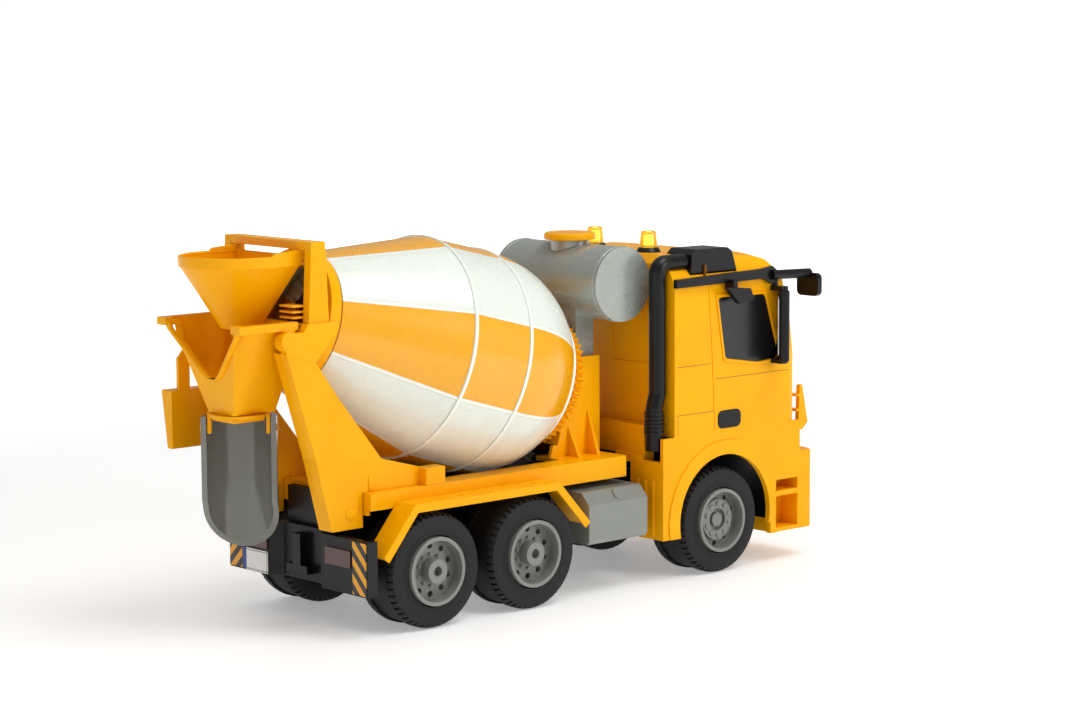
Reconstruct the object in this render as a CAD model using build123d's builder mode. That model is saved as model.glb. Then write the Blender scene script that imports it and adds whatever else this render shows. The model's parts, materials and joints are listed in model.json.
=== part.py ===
"""Toy cement mixer truck, 1:20, in millimetres.

+X is the front of the truck, +Y its left side and +Z up. The origin lies on
the floor under the middle of the truck.
"""

import os
from math import cos, radians, sin, sqrt

from build123d import *

# ---- driving dimensions ----------------------------------------------------

shell_wall = 2.0            # moulded wall of the large parts
gap = 0.3                   # between parts that don't touch
running_fit = 0.05          # radial clearance of a shaft in its hole
tuck = 1.0                  # how far a cut runs past the face that it opens

# wheels
tyre_radius = 27.5          # also the height of the three axles
tyre_width = 26.0
tyre_shoulder = 3.0
tyre_outer_y = 54.0
rim_radius = 16.4
hub_radius = 5.7
rim_holes = 10
axle_radius = 2.0
rear_axle_x = -82.5
middle_axle_x = -20.9
front_axle_x = 108.4
king_pin_y = 33.0
king_pin_radius = 1.5

# chassis tray
tray_drop = 7.5             # axle height down to the underside of the tray
floor_clearance = tyre_radius - tray_drop
tray_half = 19.0
tray_top = 63.5
tray_rear_x = -113.7
tray_step_x = 72.0
nose_half = 12.0
nose_setback = 3.0          # end of the chassis nose behind the cab's front
nose_top = 52.0

# deck and rear mudguards
deck_half = 41.0
deck_rear_x = -111.0
deck_front_x = 53.5
deck_floor = 2.3
deck_skirt_bottom = 55.2
fender_half = 54.7
fender_plate = 2.0
fender_lip = 1.4
fender_band = 4.0
fender_top = 60.6

# drum
drum_x = -20.0
drum_z = 116.0
drum_tilt = 15.63
drum_wall = 2.0
ring_s = (-40.6, -6.0, 40.7)
mouth_s = -112.0
mouth_radius = 28.0
cone_end_s = -104.8
cone_end_radius = 33.0
belly_rear_radius = 54.7
belly_radius = 56.0
nose_curve = 55.0
drum_front_s = 46.5
ring_height = 0.6
ring_width = 1.8
blade_height = 9.0
shaft_radius = 4.0

# drum drive
gear_module = 1.16
gear_teeth = 56
pinion_teeth = 14
gear_thickness = 5.0
gear_backlash = 0.2
gear_s = 48.0

# rear frame
leg_outer_y = 35.5
leg_inner_y = 25.5
ring_housing_radius = 33.6
housing_thickness = 6.0
beam_top = 184.0
beam_height = 3.8
post_front_x = -126.3
post_rear_x = -133.4
shelf_z = 147.0

# hopper and collector
hopper_plate_rise = 2.6     # guide plates above the rim, hung from the beam
hopper_seat = 0.1           # between the guide plates and the beam
hopper_radius = 25.0
hopper_centre_x = -157.5
hopper_front_x = -136.6
hopper_collar = 4.6
hopper_outlet_z = 143.8
hopper_outlet_radius = 7.5
hopper_outlet_x = -155.5
funnel_wall = 1.6
collector_top_z = 147.0
collector_bottom_z = 104.6
collector_rear_x = -175.0
collector_front_x = -140.0
collector_half = 30.0
collector_base_half = 10.0
collector_base_rear_x = -165.4
neck_x = -155.8
neck_half = 8.6
neck_bottom_z = 100.8

# chute
chute_radius = 17.5
chute_wall = 2.5
chute_top_z = 102.4
chute_cut_z = 63.5
chute_bottom_z = 41.0
chute_heading = 48.0        # turned from straight back towards the truck's right
chute_pivot_z = 97.0

# water tank
water_tank_radius = 18.8
water_tank_half = 38.1
water_tank_wall = 1.6
tank_bottom_z = 133.1
tank_cab_gap = 1.1
pedestal_half = 22.0
pedestal_front_x = 53.0
pedestal_top = 115.0
lid_radius = 13.2
lid_height = 3.6
neck_rise = 1.9             # tank neck above the top of the tank

# cab
cab_rear_x = 74.0
cab_front_x = 167.0
cab_half = 54.8
door_bottom_z = 73.8
cab_side_top = 149.5
cab_roof_top = 165.0
cab_wall = 2.2
arch_lead = 1.9             # arch centre ahead of the front axle
arch_lift = 1.2             # arch centre above the front axle
arch_radius = 33.0
arch_lip_radius = 40.4
skirt_bottom_z = 22.0
bumper_reach = 14.5         # front bumper ahead of the cab's front

# rear bumper
bumper_rear_x = -123.4
bumper_half = 53.4
bumper_bottom_z = 20.2
bumper_top_z = 46.2
bumper_thickness = 4.0

# places that follow from the sizes above
hopper_rim_z = beam_top - beam_height - hopper_seat - hopper_plate_rise
nose_front_x = cab_front_x - nose_setback
bumper_front_x = cab_front_x + bumper_reach
arch_x = front_axle_x + arch_lead
arch_z = tyre_radius + arch_lift
water_tank_x = cab_rear_x - tank_cab_gap - water_tank_radius
water_tank_z = tank_bottom_z + water_tank_radius
lid_z = water_tank_z + water_tank_radius + neck_rise
lid_x = water_tank_x - 1.0


# ---- helpers -----------------------------------------------------------------


def block(x0, x1, y0, y1, z0, z1, mode=Mode.ADD):
    """Box between two corners."""
    with Locations(((x0 + x1) / 2, (y0 + y1) / 2, (z0 + z1) / 2)):
        Box(x1 - x0, y1 - y0, z1 - z0, mode=mode)


def side_plate(points, y0, y1, mode=Mode.ADD):
    """Plate with the outline points (x, z), standing from y0 to y1."""
    with BuildSketch(Plane.XZ.offset(-y1)) as outline:
        Polygon(*points, align=None)
    extrude(outline.sketch, amount=y1 - y0, mode=mode)


def plan_plate(points, z0, z1, mode=Mode.ADD):
    """Plate with the outline points (x, y), lying from z0 to z1."""
    with BuildSketch(Plane.XY.offset(z0)) as outline:
        Polygon(*points, align=None)
    extrude(outline.sketch, amount=z1 - z0, mode=mode)


def cross_rod(x, z, y0, y1, radius, mode=Mode.ADD):
    """Round rod along Y."""
    with BuildSketch(Plane.XZ.offset(-y1)) as outline:
        with Locations((x, z)):
            Circle(radius)
    extrude(outline.sketch, amount=y1 - y0, mode=mode)


def post(x, y, z0, z1, radius, mode=Mode.ADD):
    """Round rod along Z."""
    with BuildSketch(Plane.XY.offset(z0)) as outline:
        with Locations((x, y)):
            Circle(radius)
    extrude(outline.sketch, amount=z1 - z0, mode=mode)


def gear_outline(teeth, module, phase):
    """Outline points of a gear with straight-flanked teeth."""
    pitch = module * teeth / 2
    root = pitch - 1.2 * module
    tip = pitch + 0.9 * module
    step = 360 / teeth
    half_root = step * 0.36
    half_tip = step * 0.06
    points = []
    for tooth in range(teeth):
        centre = phase + step * tooth
        flanks = ((root, -half_root), (tip, -half_tip), (tip, half_tip), (root, half_root))
        for radius, turn in flanks:
            angle = radians(centre + turn)
            points.append((radius * cos(angle), radius * sin(angle)))
    return points


parts = {}


def keep(name, part):
    """Label a finished piece and list it for export."""
    part.label = name
    parts[name] = part


# ---- drum frame ----------------------------------------------------------------

tilt_cos = cos(radians(drum_tilt))
tilt_sin = sin(radians(drum_tilt))
drum_centre = (drum_x, 0, drum_z)
drum_forward = (tilt_cos, 0, -tilt_sin)
drum_upward = (tilt_sin, 0, tilt_cos)
drum_axis = Axis(drum_centre, drum_forward)
drum_plane = Plane(origin=drum_centre, x_dir=drum_upward, z_dir=drum_forward)
drum_section = Plane(origin=drum_centre, x_dir=drum_forward, z_dir=(0, -1, 0))


def drum_point(s, up):
    """Point (x, z) in the plane y = 0, at s along the drum's axis and up from it."""
    return (drum_x + s * tilt_cos + up * tilt_sin, drum_z - s * tilt_sin + up * tilt_cos)


corner_shift = 0.6          # share of an inset by which the cone's end moves along the axis
nose_end_s = 44.0           # where the rounded nose meets its front bevel
nose_bevel = 3.0


def drum_profile(inset, mode=Mode.ADD):
    """Body turned about the drum's axis, its outline moved inwards by inset."""
    curve = nose_curve - inset
    base = belly_radius - nose_curve
    front_s = drum_front_s - inset
    curve_end = nose_end_s - inset
    mid = curve_end * 0.55
    mouth = mouth_s - inset
    cone = cone_end_s + corner_shift * inset
    nose_radius = base + sqrt(curve ** 2 - curve_end ** 2)
    mid_radius = base + sqrt(curve ** 2 - mid ** 2)
    with BuildSketch(drum_section) as section:
        with BuildLine():
            Polyline((0, base + curve), (ring_s[1], base + curve),
                     (ring_s[0], belly_rear_radius - inset), (cone, cone_end_radius - inset),
                     (cone, mouth_radius - inset), (mouth, mouth_radius - inset), (mouth, 0),
                     (front_s, 0), (front_s, nose_radius - nose_bevel), (curve_end, nose_radius))
            ThreePointArc((curve_end, nose_radius), (mid, mid_radius), (0, base + curve))
        make_face()
    revolve(section.sketch, axis=drum_axis, mode=mode)


# ---- chassis ---------------------------------------------------------------------

nose_inner = nose_half - shell_wall
door_rear_x = rear_axle_x + 3.0
door_front_x = middle_axle_x - 8.0
door_half = 15.4
switch_x = 10.0
switch_travel = 4.0
knob_length = 5.5
knob_half = 2.0
column_xs = (-104.0, 46.0)
column_y = 13.5
column_radius = 3.0
screw_radius = 1.1
screw_head_radius = 2.2
screw_head_z = 50.0
arm_half = 4.0
king_low_z = (tyre_radius - 7.1, tyre_radius - 4.1)
king_high_z = (tyre_radius + 7.1, tyre_radius + 10.1)
tie_x = front_axle_x - 10.0
tie_z = tyre_radius - 1.3
tie_thickness = 2.0
liner_radius = arch_radius + 1.2
liner_wall = 1.4
boss_radius = 5.0
boss_reach = 6.0
board_z = 68.0
board_post_xs = (90.0, 148.0)
board_post_radius = 2.2
saddle_x = (27.0, 39.0)
saddle_top = 58.0
motor_radius = 7.0
motor_s = (56.0, 76.0)

gear_pitch = gear_module * gear_teeth / 2
pinion_pitch = gear_module * pinion_teeth / 2
pinion_drop = gear_pitch + pinion_pitch + gear_backlash
motor_x, motor_z = drum_point(motor_s[0], -pinion_drop)
motor_plane = Plane(origin=(motor_x, 0, motor_z), x_dir=drum_upward, z_dir=drum_forward)
drive_module = 0.5
drive_teeth = 28
drive_pinion_teeth = 10
drive_pitch = drive_module * drive_teeth / 2
drive_pinion_z = tyre_radius + drive_pitch + drive_module * drive_pinion_teeth / 2 + 0.1
drive_tip = drive_pitch + 0.9 * drive_module

with BuildPart() as chassis_frame:
    block(tray_rear_x, tray_step_x, -tray_half, tray_half, floor_clearance, tray_top)
    block(tray_rear_x + shell_wall, tray_step_x - shell_wall, shell_wall - tray_half,
          tray_half - shell_wall, floor_clearance + shell_wall, tray_top, mode=Mode.SUBTRACT)
    block(tray_step_x - shell_wall, nose_front_x, -nose_half, nose_half, floor_clearance, nose_top)
    block(tray_step_x, nose_front_x - shell_wall, -nose_inner, nose_inner,
          floor_clearance + shell_wall, nose_top, mode=Mode.SUBTRACT)
    # axle bosses on the tray
    for axle_x in (rear_axle_x, middle_axle_x):
        for side in (-1, 1):
            y0, y1 = sorted((side * (tray_half - shell_wall), side * (tray_half + boss_reach)))
            cross_rod(axle_x, tyre_radius, y0, y1, boss_radius)
        cross_rod(axle_x, tyre_radius, -tray_half - boss_reach - tuck, tray_half + boss_reach + tuck,
                  axle_radius + running_fit, mode=Mode.SUBTRACT)
    # screw columns under the deck
    for x in column_xs:
        for side in (-1, 1):
            post(x, side * column_y, floor_clearance, tray_top, column_radius)
            post(x, side * column_y, floor_clearance, screw_head_z,
                 screw_head_radius + 2 * running_fit, mode=Mode.SUBTRACT)
            post(x, side * column_y, screw_head_z, tray_top,
                 screw_radius + running_fit, mode=Mode.SUBTRACT)
    # battery opening, gear slot and switch slot in the floor
    floor_top = floor_clearance + shell_wall
    block(door_rear_x, door_front_x, -door_half, door_half,
          floor_clearance, floor_top, mode=Mode.SUBTRACT)
    block(middle_axle_x - drive_tip, middle_axle_x + drive_tip, -4.0, 2.0,
          floor_clearance, floor_top, mode=Mode.SUBTRACT)
    block(switch_x - knob_length / 2 - gap, switch_x + knob_length / 2 + switch_travel + gap,
          -knob_half - gap, knob_half + gap, floor_clearance, floor_top, mode=Mode.SUBTRACT)
    # saddle for the drum motor
    block(*saddle_x, -motor_radius - 3, motor_radius + 3, floor_top, saddle_top)
    with BuildSketch(motor_plane.offset(-20)):
        Circle(motor_radius + gap)
    extrude(amount=60, mode=Mode.SUBTRACT)
    # king pin arms, arch liners and board posts on the nose
    for side in (-1, 1):
        y0, y1 = sorted((side * nose_inner, side * (king_pin_y + arm_half)))
        for z0, z1 in (king_low_z, king_high_z):
            block(front_axle_x - arm_half, front_axle_x + arm_half, y0, y1, z0, z1)
        post(front_axle_x, side * king_pin_y, king_low_z[0], king_high_z[1],
             king_pin_radius + running_fit, mode=Mode.SUBTRACT)
        y0, y1 = sorted((side * nose_half, side * (cab_half - cab_wall - gap)))
        with BuildSketch(Plane.XZ.offset(-y1)):
            with Locations((arch_x, arch_z)):
                Circle(liner_radius + liner_wall)
                Circle(liner_radius, mode=Mode.SUBTRACT)
            with Locations((arch_x, arch_z - 55)):
                Rectangle(100, 100, mode=Mode.SUBTRACT)
        extrude(amount=y1 - y0)
        for x in board_post_xs:
            post(x, side * (nose_half - 2.5), nose_top - 6, board_z, board_post_radius)
    drum_profile(-ring_height - gap, mode=Mode.SUBTRACT)
    # slots in the nose walls for the tie rod
    block(tie_x - 3.0, tie_x + 3.0, -nose_half - tuck, nose_half + tuck,
          tie_z - gap, tie_z + tie_thickness + gap, mode=Mode.SUBTRACT)
keep("chassis_frame", chassis_frame.part)

with BuildPart() as battery_door:
    block(door_rear_x + gap, door_front_x - gap, gap - door_half, door_half - gap,
          floor_clearance, floor_top)
    for rib in range(5):
        x = door_rear_x + 10 + rib * 8
        block(x, x + 1.6, -9, 9, floor_clearance - 0.6, floor_clearance)
keep("battery_door", battery_door.part)

cell_radius = 7.2
cell_length = 50.0
with BuildPart() as battery_cells:
    for y in (-cell_radius - 0.1, cell_radius + 0.1):
        for row in (0, 1):
            z = floor_top + 0.2 + cell_radius + row * (2 * cell_radius + 0.2)
            with BuildSketch(Plane.YZ.offset(door_rear_x + 0.6)):
                with Locations((y, z)):
                    Circle(cell_radius)
            extrude(amount=cell_length - 1.5)
            with BuildSketch(Plane.YZ.offset(door_rear_x + 0.6 + cell_length - 1.5)):
                with Locations((y, z)):
                    Circle(2.7)
            extrude(amount=1.5)
keep("battery_cells", battery_cells.part)

with BuildPart() as power_switch:
    block(switch_x - knob_length / 2, switch_x + knob_length / 2, -knob_half, knob_half,
          floor_clearance - 1.4, floor_top + gap)
    block(switch_x - knob_length / 2 - 2, switch_x + knob_length / 2 + 2, -knob_half - 2, knob_half + 2,
          floor_top + gap, floor_top + gap + 2)
keep("power_switch", power_switch.part)

with BuildPart() as screws:
    for x in column_xs:
        for side in (-1, 1):
            post(x, side * column_y, screw_head_z - 1.6, screw_head_z, screw_head_radius)
            post(x, side * column_y, screw_head_z, tray_top + 1.6, screw_radius)
            block(x - 0.3, x + 0.3, side * column_y - 1.6, side * column_y + 1.6,
                  screw_head_z - 1.6, screw_head_z - 1.0, mode=Mode.SUBTRACT)
keep("screws", screws.part)

# ---- wheels and axles --------------------------------------------------------------

rim_face_y = tyre_outer_y + 1.6
rim_depth = rim_face_y - (tyre_outer_y - tyre_width) - 0.4
web_depth = 6.4
web_wall = 2.4
tyre_seat = rim_radius + 0.08
groove_pitch = 5.5
groove_width = 1.2
groove_depth = 1.0


def wheel_plane(x, side):
    """Plane on a wheel's outer face, with its normal pointing at the truck."""
    return Plane(origin=(x, side * rim_face_y, tyre_radius), x_dir=(1, 0, 0), z_dir=(0, -side, 0))


def add_disc(plane, depth0, depth1, radius, bore=0.0, mode=Mode.ADD):
    """Round disc or ring between two depths from a wheel's face."""
    with BuildSketch(plane.offset(depth0)) as outline:
        Circle(radius)
        if bore:
            Circle(bore, mode=Mode.SUBTRACT)
    extrude(outline.sketch, amount=depth1 - depth0, mode=mode)


def add_studs(plane, depth0, depth1, ring_radius, count, radius, mode=Mode.ADD):
    """Ring of round studs or holes."""
    with BuildSketch(plane.offset(depth0)) as outline:
        with PolarLocations(ring_radius, count, start_angle=18):
            Circle(radius)
    extrude(outline.sketch, amount=depth1 - depth0, mode=mode)


def add_rear_rim(plane):
    """Dished rim with a tall hub."""
    add_disc(plane, 0.0, rim_depth, rim_radius, rim_radius - 1.8)
    add_disc(plane, web_depth, web_depth + web_wall, rim_radius - 1.0)
    add_disc(plane, 0.4, rim_depth, hub_radius)
    add_studs(plane, web_depth - 1.2, web_depth + 0.2, hub_radius + 1.9, 10, 0.8)
    add_studs(plane, web_depth - tuck, web_depth + web_wall + tuck, 11.6, rim_holes, 1.5,
              mode=Mode.SUBTRACT)
    add_disc(plane, 0.0, 3.4, 2.4, mode=Mode.SUBTRACT)
    add_disc(plane, 3.4, rim_depth, axle_radius + running_fit, mode=Mode.SUBTRACT)


def add_front_rim(plane):
    """Dished rim with a ring of wheel nuts and an open back."""
    add_disc(plane, 0.0, rim_depth, rim_radius, rim_radius - 1.8)
    add_disc(plane, web_depth, web_depth + web_wall, rim_radius - 1.0)
    add_disc(plane, web_depth - 2.4, web_depth + 0.2, 10.6, hub_radius)
    add_studs(plane, web_depth - 3.2, web_depth - 2.2, 8.2, 10, 1.2)
    add_studs(plane, web_depth - tuck, web_depth + web_wall + tuck, 12.7, rim_holes, 1.3,
              mode=Mode.SUBTRACT)
    add_disc(plane, web_depth - 2.2, web_depth + 10.0, 3.6)
    add_disc(plane, web_depth + 0.6, web_depth + 10.0, axle_radius + running_fit, mode=Mode.SUBTRACT)


def add_tyre(x, side):
    """Tyre with rounded shoulders and three running grooves."""
    height = tyre_radius - tyre_seat
    middle_y = side * (tyre_outer_y - tyre_width / 2)
    with BuildSketch(Plane(origin=(x, 0, 0), x_dir=(0, 1, 0), z_dir=(1, 0, 0))) as section:
        with Locations((middle_y, tyre_radius + tyre_seat + height / 2)):
            Rectangle(tyre_width, height)
        fillet(vertices().group_by(Axis.Y)[-1], tyre_shoulder)
        with Locations(*[(middle_y + groove_pitch * step, 2 * tyre_radius) for step in (-1, 0, 1)]):
            Rectangle(groove_width, 2 * groove_depth, mode=Mode.SUBTRACT)
    revolve(section.sketch, axis=Axis((x, 0, tyre_radius), (0, 1, 0)))


rim_lists = (("middle", middle_axle_x), ("rear", rear_axle_x))
for name, x in rim_lists:
    with BuildPart() as rims:
        for side in (-1, 1):
            add_rear_rim(wheel_plane(x, side))
    keep(name + "_rims", rims.part)
    with BuildPart() as tyres:
        for side in (-1, 1):
            add_tyre(x, side)
    keep(name + "_tyres", tyres.part)
    with BuildPart() as axle:
        cross_rod(x, tyre_radius, -(rim_face_y - 3.6), rim_face_y - 3.6, axle_radius)
        if name == "middle":
            with BuildSketch(Plane.XZ.offset(-0.5)):
                with Locations((x, tyre_radius)):
                    Polygon(*gear_outline(drive_teeth, drive_module, 90), align=None)
            extrude(amount=3)
    keep(name + "_axle", axle.part)

for name, side in (("left", 1), ("right", -1)):
    with BuildPart() as front_rim:
        add_front_rim(wheel_plane(front_axle_x, side))
    keep("front_rim_" + name, front_rim.part)
    with BuildPart() as front_tyre:
        add_tyre(front_axle_x, side)
    keep("front_tyre_" + name, front_tyre.part)
    with BuildPart() as knuckle:
        pin_y = side * king_pin_y
        block(front_axle_x - 3.5, front_axle_x + 3.5, pin_y - 3.5, pin_y + 3.5,
              king_low_z[1] + gap, king_high_z[0] - gap)
        post(front_axle_x, pin_y, king_low_z[0] + 0.2, king_high_z[1] - 0.2, king_pin_radius)
        y0, y1 = sorted((pin_y + side * 3.0, side * (rim_face_y - web_depth - 1.0)))
        cross_rod(front_axle_x, tyre_radius, y0, y1, axle_radius)
        block(tie_x - 1.6, front_axle_x - 3.0, pin_y - 1.6, pin_y + 1.6, tie_z - gap - 2.0, tie_z - gap)
        post(tie_x, pin_y, tie_z - gap - 0.2, tie_z + 3.0, 1.2)
    keep("knuckle_" + name, knuckle.part)

with BuildPart() as tie_rod:
    tie_top = tie_z + tie_thickness
    block(tie_x - 1.4, tie_x + 1.4, 2 - king_pin_y, king_pin_y - 2, tie_z, tie_top)
    for side in (-1, 1):
        eye_y = side * king_pin_y
        block(tie_x - 2.4, tie_x + 3.2, eye_y - 2.7, eye_y + 2.7, tie_z, tie_top)
        block(tie_x - 1.4, tie_x + 2.0, eye_y - 1.4, eye_y + 1.4, tie_z, tie_top,
              mode=Mode.SUBTRACT)
keep("tie_rod", tie_rod.part)

# ---- drive motor ---------------------------------------------------------------------

with BuildPart() as drive_motor:
    cross_rod(middle_axle_x, drive_pinion_z, 1.6, tray_half - shell_wall, motor_radius - 0.5)
    cross_rod(middle_axle_x, drive_pinion_z, 0.8, 1.6, 2.5)
keep("drive_motor", drive_motor.part)

with BuildPart() as motor_pinion:
    with BuildSketch(Plane.XZ.offset(-0.5)):
        with Locations((middle_axle_x, drive_pinion_z)):
            Polygon(*gear_outline(drive_pinion_teeth, drive_module, 270 + 18), align=None)
    extrude(amount=3)
keep("motor_pinion", motor_pinion.part)

# ---- deck and rear mudguards ---------------------------------------------------------

deck_top = tray_top + deck_floor
skirt_inner = deck_half - shell_wall


def band(points, width):
    """Outline of a strip along an open line, laid on the right-hand side of its run."""
    normals = []
    for start, end in zip(points, points[1:]):
        length = sqrt((end[0] - start[0]) ** 2 + (end[1] - start[1]) ** 2)
        normals.append(((end[1] - start[1]) / length, -(end[0] - start[0]) / length))
    inner = [(points[0][0] + width * normals[0][0], points[0][1] + width * normals[0][1])]
    for point, before, after in zip(points[1:-1], normals, normals[1:]):
        share = width / (1 + before[0] * after[0] + before[1] * after[1])
        inner.append((point[0] + share * (before[0] + after[0]),
                      point[1] + share * (before[1] + after[1])))
    inner.append((points[-1][0] + width * normals[-1][0], points[-1][1] + width * normals[-1][1]))
    return list(points) + inner[::-1]


wheel_cut_front = middle_axle_x + 17.0
wheel_cut_z = 57.6
drum_well_x = (-70.0, 20.0)
drum_well_half = 28.0
motor_well_x = 47.0
motor_well_half = 10.0
with BuildPart() as deck:
    block(deck_rear_x, deck_front_x, -deck_half, deck_half, deck_skirt_bottom, deck_top)
    block(deck_rear_x + shell_wall, deck_front_x - shell_wall, -skirt_inner, skirt_inner,
          deck_skirt_bottom, tray_top, mode=Mode.SUBTRACT)
    block(deck_rear_x - 1, deck_front_x + 1, -tray_half - 1, tray_half + 1,
          deck_skirt_bottom, tray_top, mode=Mode.SUBTRACT)
    for side in (-1, 1):
        y0, y1 = sorted((side * (skirt_inner - 1), side * (deck_half + 1)))
        block(deck_rear_x - tuck, wheel_cut_front, y0, y1, deck_skirt_bottom, wheel_cut_z,
              mode=Mode.SUBTRACT)
    block(*drum_well_x, -drum_well_half, drum_well_half, tray_top, deck_top, mode=Mode.SUBTRACT)
    block(drum_well_x[1], motor_well_x, -motor_well_half, motor_well_half,
          tray_top, deck_top, mode=Mode.SUBTRACT)
    for x in column_xs:
        for side in (-1, 1):
            post(x, side * column_y, tray_top, tray_top + 1.8,
                 screw_radius + running_fit, mode=Mode.SUBTRACT)
keep("deck", deck.part)

fender_line = ((-114.3, 37.8), (-95.4, fender_top), (-4.3, fender_top), (16.0, 38.5))
with BuildPart() as rear_fenders:
    for side in (-1, 1):
        y0, y1 = sorted((side * deck_half, side * fender_half))
        side_plate(band(fender_line, fender_plate), y0, y1)
        y0, y1 = sorted((side * (fender_half - fender_lip), side * fender_half))
        side_plate(band(fender_line, fender_band), y0, y1)
keep("rear_fenders", rear_fenders.part)

# ---- rear bumper -------------------------------------------------------------------------

recess_x = tray_rear_x - bumper_thickness
bumper_line = ((bumper_rear_x + 6.2, -bumper_half), (bumper_rear_x, -bumper_half), (bumper_rear_x, -19.0),
               (recess_x, -14.5), (recess_x, 17.5), (bumper_rear_x, 22.0), (bumper_rear_x, bumper_half),
               (bumper_rear_x + 6.2, bumper_half))
hook_y = 2.0
with BuildPart() as rear_bumper:
    plan_plate(band(bumper_line, bumper_thickness), bumper_bottom_z, bumper_top_z)
    block(recess_x - 4.4, recess_x, hook_y - 3, hook_y + 3, 28, 43)
    block(recess_x - 4.4, recess_x, hook_y - 8, hook_y + 8, 24, 28)
    cross_rod(recess_x - 2.2, 38.5, hook_y - 4, hook_y + 4, 1.2, mode=Mode.SUBTRACT)
keep("rear_bumper", rear_bumper.part)

with BuildPart() as tail_lamps:
    for side in (-1, 1):
        y0, y1 = sorted((side * 22.6, side * 41.7))
        block(bumper_rear_x - 0.8, bumper_rear_x, y0, y1, 32.6, 40.8)
keep("tail_lamps", tail_lamps.part)

with BuildPart() as warning_plates:
    for side in (-1, 1):
        y0, y1 = sorted((side * 43.0, side * (bumper_half - 0.3)))
        block(bumper_rear_x - 0.5, bumper_rear_x, y0, y1, bumper_bottom_z + 0.8, bumper_top_z - 0.6)
keep("warning_plates", warning_plates.part)

with BuildPart() as number_plate:
    block(bumper_rear_x - 0.6, bumper_rear_x, 22.4, 42.6, bumper_bottom_z + 0.4, 31.4)
keep("number_plate", number_plate.part)

# ---- rear frame ---------------------------------------------------------------------------

leg_foot_z = 49.4
leg_top_rear = (-154.0, 134.2)
leg_top_front = (-137.5, 129.1)
leg_foot_x = -77.0
shoe_x = -65.3
shoe_top = 74.0
leg_outline = (leg_top_rear, leg_top_front, (-123.9, 110.8), (-99.8, 80.7), (leg_foot_x, 74.4),
               (leg_foot_x, deck_top), (deck_rear_x - gap, deck_top),
               (deck_rear_x - gap, leg_foot_z), (-129.4, leg_foot_z), (-138.3, 84.1))
lower_pocket = ((-150, 66), (-121, 66), (-125, 92), (-150, 92))
upper_pocket = ((-160, 94), (-126.5, 94), (-141, 125), (-160, 125))
foot_pocket = ((-112, 70), (-90, 70), (-104, 79), (-112, 88))
for name, side in (("left", 1), ("right", -1)):
    with BuildPart() as leg:
        y0, y1 = sorted((side * leg_inner_y, side * leg_outer_y))
        side_plate(leg_outline, y0, y1)
        pocket = sorted((side * (leg_inner_y + shell_wall), side * (leg_outer_y - shell_wall)))
        for pocket_outline in (lower_pocket, upper_pocket, foot_pocket):
            side_plate(pocket_outline, *pocket, mode=Mode.SUBTRACT)
        y0, y1 = sorted((side * 33.0, side * (deck_half - 0.4)))
        block(leg_foot_x, shoe_x, y0, y1, deck_top, shoe_top)
    keep("leg_" + name, leg.part)

post_lean = 4.1             # top of the rear faces of the posts, behind their foot
post_half = (28.8, 33.4)
beam_front_x = post_front_x - 3.3
beam_rear_x = post_rear_x - post_lean
cheek_line = (leg_top_rear, leg_top_front, (-124.6, 143.0), (-124.6, shelf_z),
              (-141.6, shelf_z), (-144.0, 143.4), (-152.0, 143.4))
post_line = ((-139.6, shelf_z - 2), (post_front_x - 1.5, shelf_z - 2),
             (beam_front_x, beam_top), (beam_rear_x, beam_top))
with BuildPart() as gantry:
    with BuildSketch(drum_plane.offset(mouth_s)):
        Circle(ring_housing_radius)
    extrude(amount=housing_thickness)
    for side in (-1, 1):
        y0, y1 = sorted((side * 31.0, side * leg_outer_y))
        side_plate(cheek_line, y0, y1)
        y0, y1 = sorted((side * post_half[0], side * post_half[1]))
        side_plate(post_line, y0, y1)
        y0, y1 = sorted((side * 30.0, side * leg_outer_y))
        cross_rod(-152.0, 139.6, y0, y1, 4.6)
    block(beam_rear_x, beam_front_x, -post_half[1], post_half[1], beam_top - beam_height, beam_top)
    with BuildSketch(drum_plane.offset(mouth_s - 14)):
        Circle(mouth_radius + gap)
    extrude(amount=30, mode=Mode.SUBTRACT)
keep("gantry", gantry.part)

control_rear_x = -168.3
control_low = (-141.0, 39.6, 84.5)      # front x, outer y and z of the box's bottom
control_high = (-143.5, 43.8, 112.0)    # and of its top
control_bracket = ((-164, 111), (-157.5, 111), (-157.5, 124), (-149, 131), (-149, 139),
                   (-153.5, 139), (-164, 127))
with BuildPart() as control_box:
    for front_x, outer_y, level in (control_low, control_high):
        with BuildSketch(Plane.XY.offset(level)):
            Polygon((control_rear_x, leg_outer_y), (front_x, leg_outer_y), (front_x, outer_y),
                    (control_rear_x, outer_y), align=None)
    loft()
    side_plate(control_bracket, leg_outer_y, leg_outer_y + shell_wall)
keep("control_box", control_box.part)

# ---- hopper and collector -------------------------------------------------------------------


collar_step = 0.8           # hopper collar beyond the funnel under it


def d_outline(centre_x, radius, front_x):
    """Half circle at the rear with straight sides to a flat front."""
    with BuildLine() as outline:
        ThreePointArc((centre_x, radius), (centre_x - radius, 0), (centre_x, -radius))
        Polyline((centre_x, -radius), (front_x, -radius), (front_x, radius), (centre_x, radius))
    make_face(outline.edges())


def add_hopper_body(inset, mode=Mode.ADD):
    """Funnel body between the collar and the outlet, moved inwards by inset."""
    collar_z = hopper_rim_z - hopper_collar
    reach = collar_step + inset
    outlet = hopper_outlet_radius - inset
    with BuildSketch(Plane.XY.offset(collar_z)) as upper:
        d_outline(hopper_centre_x, hopper_radius - reach, hopper_front_x - reach)
    with BuildSketch(Plane.XY.offset(hopper_outlet_z)) as lower:
        d_outline(hopper_outlet_x, outlet, hopper_outlet_x + outlet)
    loft((upper.sketch, lower.sketch), mode=mode)


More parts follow.
